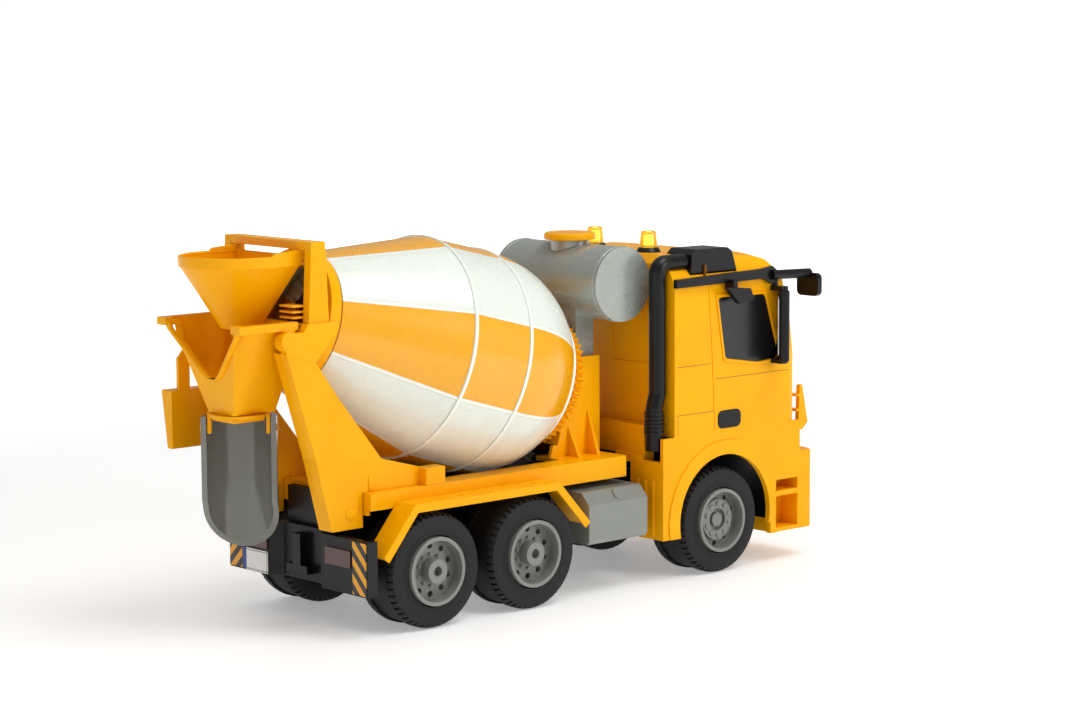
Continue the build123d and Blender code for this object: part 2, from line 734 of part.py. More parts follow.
with BuildPart() as hopper:
    add_hopper_body(0)
    with BuildSketch(Plane.XY.offset(hopper_rim_z - hopper_collar)):
        d_outline(hopper_centre_x, hopper_radius, hopper_front_x)
    extrude(amount=hopper_collar)
    add_hopper_body(funnel_wall, mode=Mode.SUBTRACT)
    with BuildSketch(Plane.XY.offset(hopper_rim_z - hopper_collar)):
        d_outline(hopper_centre_x, hopper_radius - funnel_wall, hopper_front_x - funnel_wall)
    extrude(amount=hopper_collar, mode=Mode.SUBTRACT)
    for side in (-1, 1):
        y0, y1 = sorted((side * (hopper_radius - 1.8), side * hopper_radius))
        side_plate(((-153.3, hopper_rim_z), (-151.5, hopper_rim_z + 1.6),
                    (hopper_front_x, hopper_rim_z + hopper_plate_rise),
                    (hopper_front_x, hopper_rim_z)), y0, y1)
keep("hopper", hopper.part)


def cut_corner_outline(rear_x, front_x, half, cut_x, cut_y):
    """Rectangle with its two rear corners cut off."""
    Polygon((rear_x, cut_y - half), (rear_x + cut_x, -half), (front_x, -half), (front_x, half),
            (rear_x + cut_x, half), (rear_x, half - cut_y), align=None)


def add_collector_body(inset, mode=Mode.ADD):
    """Lower funnel between its rim and its base, moved inwards by inset."""
    with BuildSketch(Plane.XY.offset(collector_top_z)) as upper:
        cut_corner_outline(collector_rear_x + inset, collector_front_x - inset,
                           collector_half - inset, 7.0, 5.0)
    with BuildSketch(Plane.XY.offset(collector_bottom_z)) as lower:
        cut_corner_outline(collector_base_rear_x + inset, collector_front_x - 2.0 - inset,
                           collector_base_half - inset, 0.7, 0.5)
    loft((upper.sketch, lower.sketch), mode=mode)


notch_half = 25.5
notch_bottom_z = 121.3
flange_lip = 2.4
swivel_z = (102.6, 104.3)
collar_radius = 9.6
with BuildPart() as collector:
    add_collector_body(0)
    block(collector_rear_x - 2.6, collector_front_x - 5.0, -collector_half - flange_lip,
          collector_half + flange_lip, collector_top_z - 2.4, collector_top_z + 1.2)
    block(collector_rear_x + funnel_wall, collector_front_x - funnel_wall, funnel_wall - collector_half,
          collector_half - funnel_wall, collector_top_z, collector_top_z + 2, mode=Mode.SUBTRACT)
    add_collector_body(funnel_wall, mode=Mode.SUBTRACT)
    with BuildSketch(Plane.YZ.offset(collector_rear_x - 10)):
        Polygon((-notch_half, collector_top_z + 3), (-notch_half, collector_top_z - 3),
                (-9, notch_bottom_z + 5), (-4, notch_bottom_z), (4, notch_bottom_z),
                (9, notch_bottom_z + 5),
                (notch_half, collector_top_z - 3), (notch_half, collector_top_z + 3), align=None)
        fillet([corner for corner in vertices() if corner.Z < notch_bottom_z + 6], 3.0)
    extrude(amount=20, mode=Mode.SUBTRACT)
    block(collector_base_rear_x + 0.2, collector_front_x - 2.2, 0.5 - collector_base_half,
          collector_base_half - 0.5, collector_bottom_z, collector_bottom_z + funnel_wall)
    post(neck_x, 0, swivel_z[0] - gap, collector_bottom_z + funnel_wall, collar_radius)
    block(neck_x - neck_half, neck_x + neck_half, -neck_half, neck_half, neck_bottom_z, swivel_z[0] - gap)
    post(neck_x, 0, neck_bottom_z, collector_bottom_z + funnel_wall, 7.0, mode=Mode.SUBTRACT)
keep("collector", collector.part)

# ---- chute ------------------------------------------------------------------------------------

heading = radians(chute_heading)
across = (sin(heading), -cos(heading), 0)
behind = (cos(heading), sin(heading), 0)
chute_side_wall = 5.0
pivot_back = 4.0
pivot_radius = 1.7
ear_outer = 14.6
ear_inner = 12.8


def chute_plane(z):
    """Level plane at the neck, local x across the chute, local y towards its back."""
    return Plane(origin=(neck_x, 0, z), x_dir=across, z_dir=(0, 0, 1))


def add_u_bar(half, mode=Mode.ADD):
    """Upright bar with a U-shaped section, its straight side at the front."""
    with BuildSketch(chute_plane(chute_bottom_z - 5)) as section:
        with Locations((0, chute_side_wall)):
            Circle(half)
        with Locations((0, chute_side_wall / 2)):
            Rectangle(2 * half, chute_side_wall)
        with Locations((0, -half)):
            Rectangle(4 * half, 2 * half, mode=Mode.SUBTRACT)
    extrude(section.sketch, amount=chute_top_z - chute_bottom_z + 5, mode=mode)


across_plane = Plane(origin=(neck_x, 0, 0), x_dir=behind, z_dir=across)
chute_back = chute_side_wall + chute_radius
with BuildPart() as chute:
    add_u_bar(chute_radius)
    add_u_bar(chute_radius - chute_wall, mode=Mode.SUBTRACT)
    with BuildSketch(across_plane.offset(-30)):
        Polygon((-tuck, chute_bottom_z - 20), (chute_back + 2, chute_bottom_z - 20),
                (chute_back + 2, chute_bottom_z - 5.4), (chute_back, chute_bottom_z - 3.6),
                (-tuck, chute_cut_z + 1), align=None)
    extrude(amount=60, mode=Mode.SUBTRACT)
    with BuildSketch(across_plane.offset(-30)):
        with Locations((pivot_back, chute_pivot_z)):
            Circle(pivot_radius + running_fit)
    extrude(amount=60, mode=Mode.SUBTRACT)
keep("chute", chute.part)

with BuildPart() as chute_swivel:
    with BuildSketch(chute_plane(swivel_z[0])):
        Circle(13.2)
        with Locations((0, pivot_back)):
            Rectangle(2 * ear_outer, 6)
        Circle(collar_radius + running_fit, mode=Mode.SUBTRACT)
    extrude(amount=swivel_z[1] - swivel_z[0])
    for side in (-1, 1):
        with BuildSketch(chute_plane(chute_pivot_z - 2.6)):
            with Locations((side * (ear_outer + ear_inner) / 2, pivot_back)):
                Rectangle(ear_outer - ear_inner, 6)
        extrude(amount=swivel_z[1] - chute_pivot_z + 2.6)
        with BuildSketch(across_plane.offset(min(side * ear_inner, side * (chute_radius + 0.6)))):
            with Locations((pivot_back, chute_pivot_z)):
                Circle(pivot_radius)
        extrude(amount=chute_radius + 0.6 - ear_inner)
keep("chute_swivel", chute_swivel.part)

# ---- drum ---------------------------------------------------------------------------------------


front_ring_radius = belly_radius - nose_curve + sqrt(nose_curve ** 2 - ring_s[2] ** 2)
ring_radii = (belly_rear_radius, belly_radius, front_ring_radius)
with BuildPart() as drum_shell:
    drum_profile(0)
    for s, radius in zip(ring_s, ring_radii):
        with BuildSketch(drum_plane.offset(s - ring_width / 2)):
            Circle(radius + ring_height)
        extrude(amount=ring_width)
    drum_profile(drum_wall, mode=Mode.SUBTRACT)
keep("drum_shell", drum_shell.part)

blade_step = 1.5
blade_turn = 15.0
blade_count = 26
blade_start_s = cone_end_s + 4
inner_cone_s = cone_end_s + corner_shift * drum_wall
cone_slope = (belly_rear_radius - cone_end_radius) / (ring_s[0] - inner_cone_s)


def blade_outline(outer, inner, turn):
    """Piece of a ring, centred on an angle in degrees."""
    first, middle, last = (radians(turn + blade_turn * share) for share in (-0.55, 0.0, 0.55))
    corners = [[(radius * cos(angle), radius * sin(angle)) for angle in (first, middle, last)]
               for radius in (outer, inner)]
    with BuildLine() as line:
        ThreePointArc(*corners[0])
        Line(corners[0][2], corners[1][2])
        ThreePointArc(*corners[1][::-1])
        Line(corners[1][0], corners[0][0])
    make_face(line.edges())


with BuildPart() as drum_blades:
    for spiral in (0, 180):
        for index in range(blade_count):
            s = blade_start_s + index * blade_step
            outer = cone_end_radius + cone_slope * (s - inner_cone_s) - drum_wall - gap
            with BuildSketch(drum_plane.offset(s)):
                blade_outline(outer, outer - blade_height, spiral + index * blade_turn)
            extrude(amount=blade_step)
keep("drum_blades", drum_blades.part)

gear_front_s = gear_s + gear_thickness
bearing_s = gear_front_s + 1.4
with BuildPart() as drum_gear:
    with BuildSketch(drum_plane.offset(drum_front_s)):
        Circle(24)
    extrude(amount=gear_s - drum_front_s)
    with BuildSketch(drum_plane.offset(gear_s)):
        Polygon(*gear_outline(gear_teeth, gear_module, 180), align=None)
    extrude(amount=gear_thickness)
    with BuildSketch(drum_plane.offset(gear_front_s)):
        Circle(shaft_radius + 3)
    extrude(amount=1.0)
    with BuildSketch(drum_plane.offset(gear_front_s)):
        Circle(shaft_radius)
    extrude(amount=12)
keep("drum_gear", drum_gear.part)

with BuildPart() as drum_pinion:
    with BuildSketch(drum_plane.offset(gear_s)):
        with Locations((-pinion_drop, 0)):
            Polygon(*gear_outline(pinion_teeth, gear_module, 180 / pinion_teeth), align=None)
    extrude(amount=gear_thickness)
keep("drum_pinion", drum_pinion.part)

with BuildPart() as drum_motor:
    with BuildSketch(motor_plane):
        Circle(motor_radius)
    extrude(amount=motor_s[1] - motor_s[0])
    with BuildSketch(motor_plane.offset(gear_front_s + gap - motor_s[0])):
        Circle(2.0)
    extrude(amount=motor_s[0] - gear_front_s - gap)
keep("drum_motor", drum_motor.part)

# ---- front pedestal and water tank -----------------------------------------------------------

rear_low = drum_point(bearing_s, -30.5)
rear_high = drum_point(bearing_s, 14.0)
inner_low = drum_point(bearing_s + shell_wall, -30.5)
inner_high = drum_point(bearing_s + shell_wall, 12.0)
pedestal_inner = pedestal_half - shell_wall
pedestal_inner_x = pedestal_front_x - shell_wall
pedestal_inner_top = pedestal_top - shell_wall
with BuildPart() as front_pedestal:
    side_plate(((19.0, deck_top), (21.0, 72.0), rear_low, (rear_high[0], pedestal_top),
                (pedestal_front_x, pedestal_top), (pedestal_front_x, deck_top)),
               -pedestal_half, pedestal_half)
    side_plate(((10.0, deck_top - 5), (10.0, rear_low[1] + 4), inner_low,
                (inner_high[0], pedestal_inner_top), (pedestal_inner_x, pedestal_inner_top),
                (pedestal_inner_x, deck_top - 5)),
               -pedestal_inner, pedestal_inner, mode=Mode.SUBTRACT)
    with BuildSketch(drum_plane.offset(bearing_s)):
        Circle(shaft_radius + 4)
    extrude(amount=9)
    with BuildSketch(drum_plane.offset(bearing_s - 1)):
        Circle(shaft_radius + running_fit)
    extrude(amount=12, mode=Mode.SUBTRACT)
    for side in (-1, 1):
        for x, apex in ((31.0, 82.0), (44.0, 90.0)):
            with BuildSketch(Plane.YZ.offset(x)):
                Polygon((side * (pedestal_half - 0.5), deck_top), (side * (pedestal_half + 8), deck_top),
                        (side * (pedestal_half - 0.5), apex), align=None)
            extrude(amount=1.6)
keep("front_pedestal", front_pedestal.part)

saddle_half = 18.5
saddle_front_x = pedestal_front_x - 1.0
saddle_rear_x = pedestal_front_x - 13.0
neck_radius = 10.0
neck_bore = 7.6
plug_depth = 5.0
with BuildPart() as water_tank:
    cross_rod(water_tank_x, water_tank_z, -water_tank_half, water_tank_half, water_tank_radius)
    block(saddle_rear_x, saddle_front_x, -saddle_half, saddle_half, pedestal_top, tank_bottom_z + 6.8)
    post(lid_x, 0, water_tank_z, lid_z - 0.4, neck_radius)
    cross_rod(water_tank_x, water_tank_z, water_tank_wall - water_tank_half,
              water_tank_half - water_tank_wall, water_tank_radius - water_tank_wall,
              mode=Mode.SUBTRACT)
    post(lid_x, 0, water_tank_z, lid_z, neck_bore, mode=Mode.SUBTRACT)
keep("water_tank", water_tank.part)

with BuildPart() as tank_lid:
    post(lid_x, 0, lid_z, lid_z + lid_height, lid_radius)
    fillet(tank_lid.edges().filter_by(GeomType.CIRCLE).sort_by(Axis.Z)[-1], 1.6)
    post(lid_x, 0, lid_z - plug_depth, lid_z, neck_bore - running_fit)
    post(lid_x, 0, lid_z - plug_depth - 0.5, lid_z - 1.2, neck_bore - 1.6, mode=Mode.SUBTRACT)
keep("tank_lid", tank_lid.part)

# ---- cab --------------------------------------------------------------------------------------

screen_foot = (cab_front_x + 1.0, 98.0)
screen_top = (cab_front_x - 15.0, 151.0)
cab_side_line = ((cab_rear_x, door_bottom_z), (cab_front_x + 1, door_bottom_z), screen_foot,
                 screen_top, (cab_front_x - 21.0, 159.5), (cab_front_x - 33.0, 163.6),
                 (cab_front_x - 49.0, cab_roof_top), (cab_rear_x + 6.0, cab_roof_top),
                 (cab_rear_x + 1.6, 161.0), (cab_rear_x, 154.0))
cab_face_half = ((cab_half, 60), (cab_half, cab_side_top), (cab_half - 2.2, cab_side_top + 5.5),
                 (cab_half - 8.8, cab_roof_top - 3.5), (cab_half - 18.8, cab_roof_top + 0.6))
cab_face_line = cab_face_half + tuple((-y, z) for y, z in reversed(cab_face_half))
cab_plan_half = ((60, cab_half), (cab_front_x - 9.0, cab_half),
                 (cab_front_x - 2.5, cab_half - 3.3), (cab_front_x + 1.2, cab_half - 10.8))
cab_plan_line = cab_plan_half + tuple((x, -y) for x, y in reversed(cab_plan_half))
cab_span = cab_front_x - 37.0           # longer than the cab, for cuts through all of it


def cab_block(inset):
    """Solid block of the cab's shape, every face moved inwards by inset."""
    with BuildPart() as solid:
        with BuildSketch(Plane.XZ.offset(-cab_half)):
            Polygon(*cab_side_line, align=None)
            if inset:
                offset(amount=-inset, kind=Kind.INTERSECTION)
        extrude(amount=2 * cab_half)
        with BuildSketch(Plane.YZ.offset(60)):
            Polygon(*cab_face_line, align=None)
            if inset:
                offset(amount=-inset, kind=Kind.INTERSECTION)
        extrude(amount=cab_span, mode=Mode.INTERSECT)
        with BuildSketch(Plane.XY.offset(50)):
            Polygon(*cab_plan_line, align=None)
            if inset:
                offset(amount=-inset, kind=Kind.INTERSECTION)
        extrude(amount=cab_span, mode=Mode.INTERSECT)
    return solid.part


def window_outline():
    """Side window with rounded corners."""
    Polygon((104.6, 142.8), (139.4, 142.2), (150.4, 108.2), (133.5, 107.4), (110.4, 111.2), align=None)
    fillet(vertices(), 3.0)


def handle_outline():
    """Door handle recess."""
    with Locations((113.5, 79.8)):
        RectangleRounded(17, 9.4, 3.4)


def on_sides(outline, shrink, depth0, depth1, mode=Mode.ADD):
    """Extrude an outline on both flanks of the cab, between two depths below its side."""
    for side in (-1, 1):
        y0, y1 = sorted((side * (cab_half - depth0), side * (cab_half - depth1)))
        with BuildSketch(Plane.XZ.offset(-y1)) as face:
            outline()
            if shrink:
                offset(amount=-shrink)
        extrude(face.sketch, amount=y1 - y0, mode=mode)


screen_rise = screen_top[1] - screen_foot[1]
screen_run = screen_foot[0] - screen_top[0]
screen_slope = sqrt(screen_run ** 2 + screen_rise ** 2)
screen_plane = Plane(origin=(screen_foot[0], 0, screen_foot[1]), x_dir=(0, 1, 0),
                     z_dir=(screen_rise / screen_slope, 0, screen_run / screen_slope))


def screen_outline(shrink):
    """Windscreen with rounded corners, lying on the sloped front."""
    with Locations((0, screen_slope / 2 - 1.5)):
        RectangleRounded(84 - 2 * shrink, screen_slope - 9 - 2 * shrink, 4)


pane_depth = 1.2
cab_outer = cab_block(0)
cab_inner = cab_block(cab_wall)
cab_clearance = cab_block(-gap)
with BuildPart() as cab_shell:
    add(cab_outer)
    add(cab_inner, mode=Mode.SUBTRACT)
    block(cab_rear_x + cab_wall, cab_front_x - 6, cab_wall - cab_half, cab_half - cab_wall,
          door_bottom_z, door_bottom_z + cab_wall, mode=Mode.SUBTRACT)
    on_sides(window_outline, 0.0, -0.5, pane_depth, mode=Mode.SUBTRACT)
    on_sides(handle_outline, 0.0, -0.5, pane_depth, mode=Mode.SUBTRACT)
    with BuildSketch(screen_plane.offset(-pane_depth)):
        screen_outline(0.0)
    extrude(amount=3, mode=Mode.SUBTRACT)
    # door seam and rear wall panels
    for side in (-1, 1):
        y0, y1 = sorted((side * (cab_half - 0.4), side * (cab_half + 1)))
        side_plate(((97.8, cab_side_top), (98.3, cab_side_top), (100.6, 120),
                    (103.2, door_bottom_z), (102.7, door_bottom_z), (100.1, 120)),
                   y0, y1, mode=Mode.SUBTRACT)
        y0, y1 = sorted((side * 9.0, side * 38.0))
        block(cab_rear_x - 1, cab_rear_x + 0.5, y0, y1, 110, 128, mode=Mode.SUBTRACT)
        y0, y1 = sorted((side * 3.0, side * 24.6))
        block(cab_rear_x - 1, cab_rear_x + 0.4, y0, y1, 82, 91, mode=Mode.SUBTRACT)
keep("cab_shell", cab_shell.part)

with BuildPart() as side_windows:
    on_sides(window_outline, 0.1, 0.1, pane_depth)
keep("side_windows", side_windows.part)

with BuildPart() as door_handles:
    on_sides(handle_outline, 0.1, -0.4, pane_depth)
keep("door_handles", door_handles.part)

with BuildPart() as windscreen:
    with BuildSketch(screen_plane.offset(-pane_depth)):
        screen_outline(0.1)
    extrude(amount=pane_depth - 0.1)
keep("windscreen", windscreen.part)

step_rear_x = cab_front_x - 20.0
skirt_front_x = cab_front_x
guard_x = (66.0, 68.2)
for name, side in (("left", 1), ("right", -1)):
    with BuildPart() as skirt:
        y0, y1 = sorted((side * (cab_half - cab_wall), side * cab_half))
        block(guard_x[0], skirt_front_x, y0, y1, skirt_bottom_z, door_bottom_z)
        y0, y1 = sorted((side * (cab_half - cab_wall), side * (cab_half + 0.8)))
        cross_rod(arch_x, arch_z, y0, y1, arch_lip_radius)
        y0, y1 = sorted((side * 30, side * (cab_half + 5)))
        cross_rod(arch_x, arch_z, y0, y1, arch_radius, mode=Mode.SUBTRACT)
        block(guard_x[1], step_rear_x - 3, y0, y1, -20, skirt_bottom_z, mode=Mode.SUBTRACT)
        block(arch_x - 60, arch_x + 60, y0, y1, -30, 16, mode=Mode.SUBTRACT)
        # rear guard behind the wheel
        y0, y1 = sorted((side * 31, side * cab_half))
        block(guard_x[0], guard_x[1], y0, y1, skirt_bottom_z, 62.0)
        for rib in (0, 1, 2):
            y = side * (36.5 + 5.5 * rib)
            block(guard_x[0] - 0.8, guard_x[0] + 1, y - 0.8, y + 0.8, skirt_bottom_z + 2, 52)
        y0, y1 = sorted((side * (tray_half + 1), side * 40))
        block(guard_x[0], cab_rear_x - gap, y0, y1, 60.0, tray_top + 1)
        y0, y1 = sorted((side * 6, side * 40))
        block(guard_x[0] + 1, cab_rear_x - gap, y0, y1, tray_top + gap, 79.5)
        block(guard_x[0] + 3, cab_rear_x + 2, y0 + 2, y1 - 2, tray_top, 77.5, mode=Mode.SUBTRACT)
        # entry steps
        y0, y1 = sorted((side * 41, side * cab_half))
        block(arch_x + liner_radius + liner_wall + gap, skirt_front_x, y0, y1, 16.0, 44.0)
        y0, y1 = sorted((side * 43, side * (cab_half + 1)))
        block(step_rear_x + 1, skirt_front_x - 1.5, y0, y1, 37.6, 43.6, mode=Mode.SUBTRACT)
        block(step_rear_x + 1, skirt_front_x - 1.5, y0, y1, 18.0, 35.0, mode=Mode.SUBTRACT)
    keep("cab_skirt_" + name, skirt.part)

grille_x = cab_front_x + 1.2 + gap
front_bumper_half = cab_half - 1.2
front_bumper_z = (15.5, 57.0)
bumper_bar = 5.0
intake_half = 24.0
intake_z = (19.5, 30.0)
lamp_x = bumper_front_x - 7.5
lamp_y = (34.0, 49.0)
lamp_z = (38.0, 48.0)
front_line_half = ((cab_front_x + gap, front_bumper_half),
                   (bumper_front_x - bumper_bar, front_bumper_half),
                   (bumper_front_x - 1.9, front_bumper_half - 5.6), (bumper_front_x, 30.0))
front_line = front_line_half + tuple((x, -y) for x, y in reversed(front_line_half))
with BuildPart() as front_bumper:
    plan_plate(front_line, *front_bumper_z)
    block(cab_front_x - 7, bumper_front_x - bumper_bar, 2.6 - front_bumper_half,
          front_bumper_half - 2.6, front_bumper_z[0] + shell_wall, front_bumper_z[1] - shell_wall,
          mode=Mode.SUBTRACT)
    block(cab_front_x, bumper_front_x + 2, -intake_half, intake_half, *intake_z,
          mode=Mode.SUBTRACT)
    for side in (-1, 1):
        y0, y1 = sorted((side * lamp_y[0], side * lamp_y[1]))
        block(lamp_x, bumper_front_x + 2, y0, y1, *lamp_z, mode=Mode.SUBTRACT)
    for row in range(3):
        z = intake_z[0] + 2.1 + row * 3.0
        block(bumper_front_x - 4, bumper_front_x - 1, -intake_half, intake_half, z, z + 1.2)
keep("front_bumper", front_bumper.part)

with BuildPart() as headlamps:
    for side in (-1, 1):
        y0, y1 = sorted((side * (lamp_y[0] + 0.1), side * (lamp_y[1] - 0.1)))
        block(lamp_x, bumper_front_x - 2.9, y0, y1, lamp_z[0] + 0.1, lamp_z[1] - 0.1)
keep("headlamps", headlamps.part)

grille_half = 38.0
grille_z = (front_bumper_z[1] + 0.2, 95.0)
grille_front_x = bumper_front_x - 5.5
slot_pitch = 8.4
slot_height = 5.4
deflector_y = (46.5, 49.0)
deflector_line = ((bumper_front_x - 8.5, 91.0), (bumper_front_x - 6.5, 91.2),
                  (bumper_front_x - 2.1, 71.0), (bumper_front_x - 6.0, 67.2),
                  (bumper_front_x - 9.5, 67.2))
with BuildPart() as front_grille:
    block(grille_x, grille_front_x, -grille_half, grille_half, *grille_z)
    for row in range(4):
        z = grille_z[0] + 3.8 + row * slot_pitch
        block(grille_front_x - 3.5, grille_front_x + 4, 3 - grille_half, grille_half - 3,
              z, z + slot_height, mode=Mode.SUBTRACT)
    for side in (-1, 1):
        y0, y1 = sorted((side * deflector_y[0], side * deflector_y[1]))
        side_plate(deflector_line, y0, y1)
        y0, y1 = sorted((side * (grille_half - tuck), side * deflector_y[1]))
        for z in (69.0, 77.0, 85.0):
            block(bumper_front_x - 10.9, bumper_front_x - 7.9, y0, y1, z, z + 1.4)
keep("front_grille", front_grille.part)

# ---- cab fittings ---------------------------------------------------------------------------

rail_y = (cab_half, cab_half + 2.4)
mirror_x = cab_front_x - 21.0
mirror_y = cab_half + 7.2
mirror_z = 126.0
mirror_height = 36.0
mirror_arm_zs = (145.0, 107.2)
door_mirror_y = cab_half + 6.2
door_mirror_wall = 3.2
glass_tilt = radians(42)
rail_line = ((cab_rear_x - 0.8, 149.7), (cab_rear_x - 0.8, 154.0), (mirror_x - 10, 155.6),
             (mirror_x - 3, 156.6), (mirror_x + 2, 153.0), (mirror_x - 3, 147.2),
             (mirror_x - 10, 150.6))
for name, side in (("left", 1), ("right", -1)):
    with BuildPart() as rail:
        y0, y1 = sorted((side * rail_y[0], side * rail_y[1]))
        side_plate(rail_line, y0, y1)
        # arm and front mirror
        arm_start = (mirror_x - 4.0, side * rail_y[1], 152.0)
        with BuildSketch(Plane(origin=arm_start, z_dir=(26, side * 1.5, -0.6))):
            Circle(2.5)
        extrude(amount=27)
        with BuildSketch(Plane.YZ.offset(cab_front_x + 1)):
            with Locations((side * (cab_half + 3.6), 145.5)):
                RectangleRounded(15, 12, 3)
        extrude(amount=3)
        # mirror over the door
        y0, y1 = sorted((side * cab_half, side * door_mirror_y))
        block(110, 113, y0, y1, 146.6, 151.5)
        y0 = side * door_mirror_y - door_mirror_wall / 2
        side_plate(((104, 148.4), (121, 147), (123.5, 141.4), (113, 139.6)),
                   y0, y0 + door_mirror_wall)
        # main mirror and its two arms
        along = (-sin(glass_tilt), side * cos(glass_tilt), 0)
        mirror_foot = (mirror_x, side * mirror_y, mirror_z - mirror_height / 2)
        with BuildSketch(Plane(origin=mirror_foot, x_dir=along, z_dir=(0, 0, 1))):
            RectangleRounded(15, 5.4, 2)
        extrude(amount=mirror_height)
        y0, y1 = sorted((side * cab_half, side * (mirror_y + 1)))
        for z in mirror_arm_zs:
            block(mirror_x - 2.4, mirror_x + 2.4, y0, y1, z - 1.2, z + 1.2)
        post(mirror_x, side * mirror_y, mirror_arm_zs[1] - 1.2, mirror_arm_zs[0] + 1.2, 1.4)
        post(mirror_x, side * (cab_half + 1.4), mirror_arm_zs[0] - 1, mirror_arm_zs[0] + 7, 1.4)
    keep("roof_rail_" + name, rail.part)

with BuildPart() as mirror_glasses:
    for side in (-1, 1):
        along = (-sin(glass_tilt), side * cos(glass_tilt), 0)
        inward = (-cos(glass_tilt), -side * sin(glass_tilt), 0)
        centre = (mirror_x + 2.75 * inward[0], side * mirror_y + 2.75 * inward[1], mirror_z)
        with BuildSketch(Plane(origin=centre, x_dir=along, z_dir=inward)):
            RectangleRounded(11, mirror_height - 5, 1.5)
        extrude(amount=0.5)
keep("mirror_glasses", mirror_glasses.part)

air_box_x = (cab_rear_x + 13.0, cab_rear_x + 47.0)
air_box_y = (1.8 - cab_half, -35.0)
air_box_z = 154.4
snorkel_radius = 4.35
snorkel_y = -47.2
snorkel_upper_x = cab_rear_x - 4.8
snorkel_lower_x = cab_rear_x - 7.0
elbow_z = cab_roof_top - 3.5
air_box_line = ((air_box_x[0], air_box_z), (air_box_x[0] + 1, cab_roof_top + 0.5),
                (air_box_x[0] + 4, cab_roof_top + 3.0), (air_box_x[1] - 7, cab_roof_top + 2.8),
                (air_box_x[1] - 4, cab_roof_top + 1.0), (air_box_x[1], air_box_z))
with BuildPart() as air_box:
    side_plate(air_box_line, *air_box_y)
    fillet(air_box.edges().filter_by(Axis.X).sort_by(Axis.Z)[-2:], 2.0)
    add(cab_outer, mode=Mode.SUBTRACT)
    block(air_box_x[0] - 7, air_box_x[1] + 9, air_box_y[0] - 7, air_box_y[1] + 5,
          air_box_z - 14, air_box_z, mode=Mode.SUBTRACT)
keep("air_box", air_box.part)

with BuildPart() as snorkel:
    with BuildLine() as run:
        FilletPolyline((snorkel_lower_x, snorkel_y, 67.5), (snorkel_lower_x, snorkel_y, 89.0),
                       (snorkel_upper_x, snorkel_y, 96.0), (snorkel_upper_x, snorkel_y, elbow_z),
                       (air_box_x[0] - 0.1, snorkel_y, elbow_z), radius=5.0)
    with BuildSketch(Plane(origin=run.line @ 0, z_dir=run.line % 0)):
        Circle(snorkel_radius)
    sweep()
    for ring in range(6):
        z = 76.0 + ring * 2
        post(snorkel_lower_x, snorkel_y, z, z + 1.2, snorkel_radius + 0.8)
    add(cab_clearance, mode=Mode.SUBTRACT)
keep("snorkel", snorkel.part)

beacon_x = cab_rear_x + 15.6
beacon_y = 20.0
beacon_base_height = 2.4
beacon_height = 8.4
base_z = cab_roof_top + beacon_base_height / 2
lens_z = cab_roof_top + beacon_base_height + beacon_height / 2
with BuildPart() as beacon_bases:
    with Locations(*[(beacon_x, side * beacon_y, base_z) for side in (-1, 1)]):
        Cone(6.6, 5.0, beacon_base_height)
keep("beacon_bases", beacon_bases.part)

with BuildPart() as beacon_lenses:
    with Locations(*[(beacon_x, side * beacon_y, lens_z) for side in (-1, 1)]):
        Cone(4.6, 3.9, beacon_height)
    fillet(beacon_lenses.edges().filter_by(GeomType.CIRCLE).group_by(Axis.Z)[-1], 1.2)
keep("beacon_lenses", beacon_lenses.part)

board_top = board_z + 1.6
with BuildPart() as circuit_board:
    block(board_post_xs[0] - 6, board_post_xs[1] + 6, -30, 30, board_z, board_top)
    block(92, 106, -12, 4, board_top, board_z + 4)
    block(116, 124, -8, 14, board_top, board_z + 6)
    post(138, 0, board_top, board_z + 9, 8)
keep("circuit_board", circuit_board.part)

# ---- side tanks --------------------------------------------------------------------------------

side_tank_x = 17.0
side_tank_length = 40.0
side_tank_y = (24.0, 52.6)
side_tank_z = (26.0, 51.8)
with BuildPart() as side_tanks:
    for side in (-1, 1):
        with BuildSketch(Plane.YZ.offset(side_tank_x)):
            Polygon((side * side_tank_y[0], side_tank_z[0]),
                    (side * (side_tank_y[1] - 1.6), side_tank_z[0]),
                    (side * side_tank_y[1], side_tank_z[0] + 2.0),
                    (side * side_tank_y[1], side_tank_z[1] - 5.8),
                    (side * (side_tank_y[1] - 5.6), side_tank_z[1]),
                    (side * side_tank_y[0], side_tank_z[1]), align=None)
            fillet([corner for corner in vertices() if abs(corner.Y) > 30], 1.8)
        extrude(amount=side_tank_length)
        # hanger on the tray and filler cap
        y0, y1 = sorted((side * tray_half, side * (side_tank_y[0] + tuck)))
        block(side_tank_x + 9, side_tank_x + 31, y0, y1, side_tank_z[0] + 8, side_tank_z[0] + 18)
        cap_origin = (side_tank_x + 22, side * (side_tank_y[1] - 3.1), side_tank_z[1] - 3.2)
        with BuildSketch(Plane(origin=cap_origin, z_dir=(0, side * 5.8, 5.6))):
            Circle(3.4)
        extrude(amount=1.8)
keep("side_tanks", side_tanks.part)

# ---- export --------------------------------------------------------------------------------------

os.makedirs("parts", exist_ok=True)
for name, part in parts.items():
    export_step(part, f"parts/{name}.step")
print(len(parts), "sub-parts written")
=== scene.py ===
# %% [markdown]
# # A toy cement mixer, dressed for its picture
# The imported CAD model brings every moulding at its right size and place. This lesson gives each moulding the
# plastic it is made of, softens its edges as a mould does, and adds the pieces that are too fine for CAD: the
# tyres' tread, beads, lips, ribs, panel lines drawn as painted shade, wipers and bulbs.

# %% Load the imported model
import json
from math import atan2, cos, pi, radians, sin, sqrt

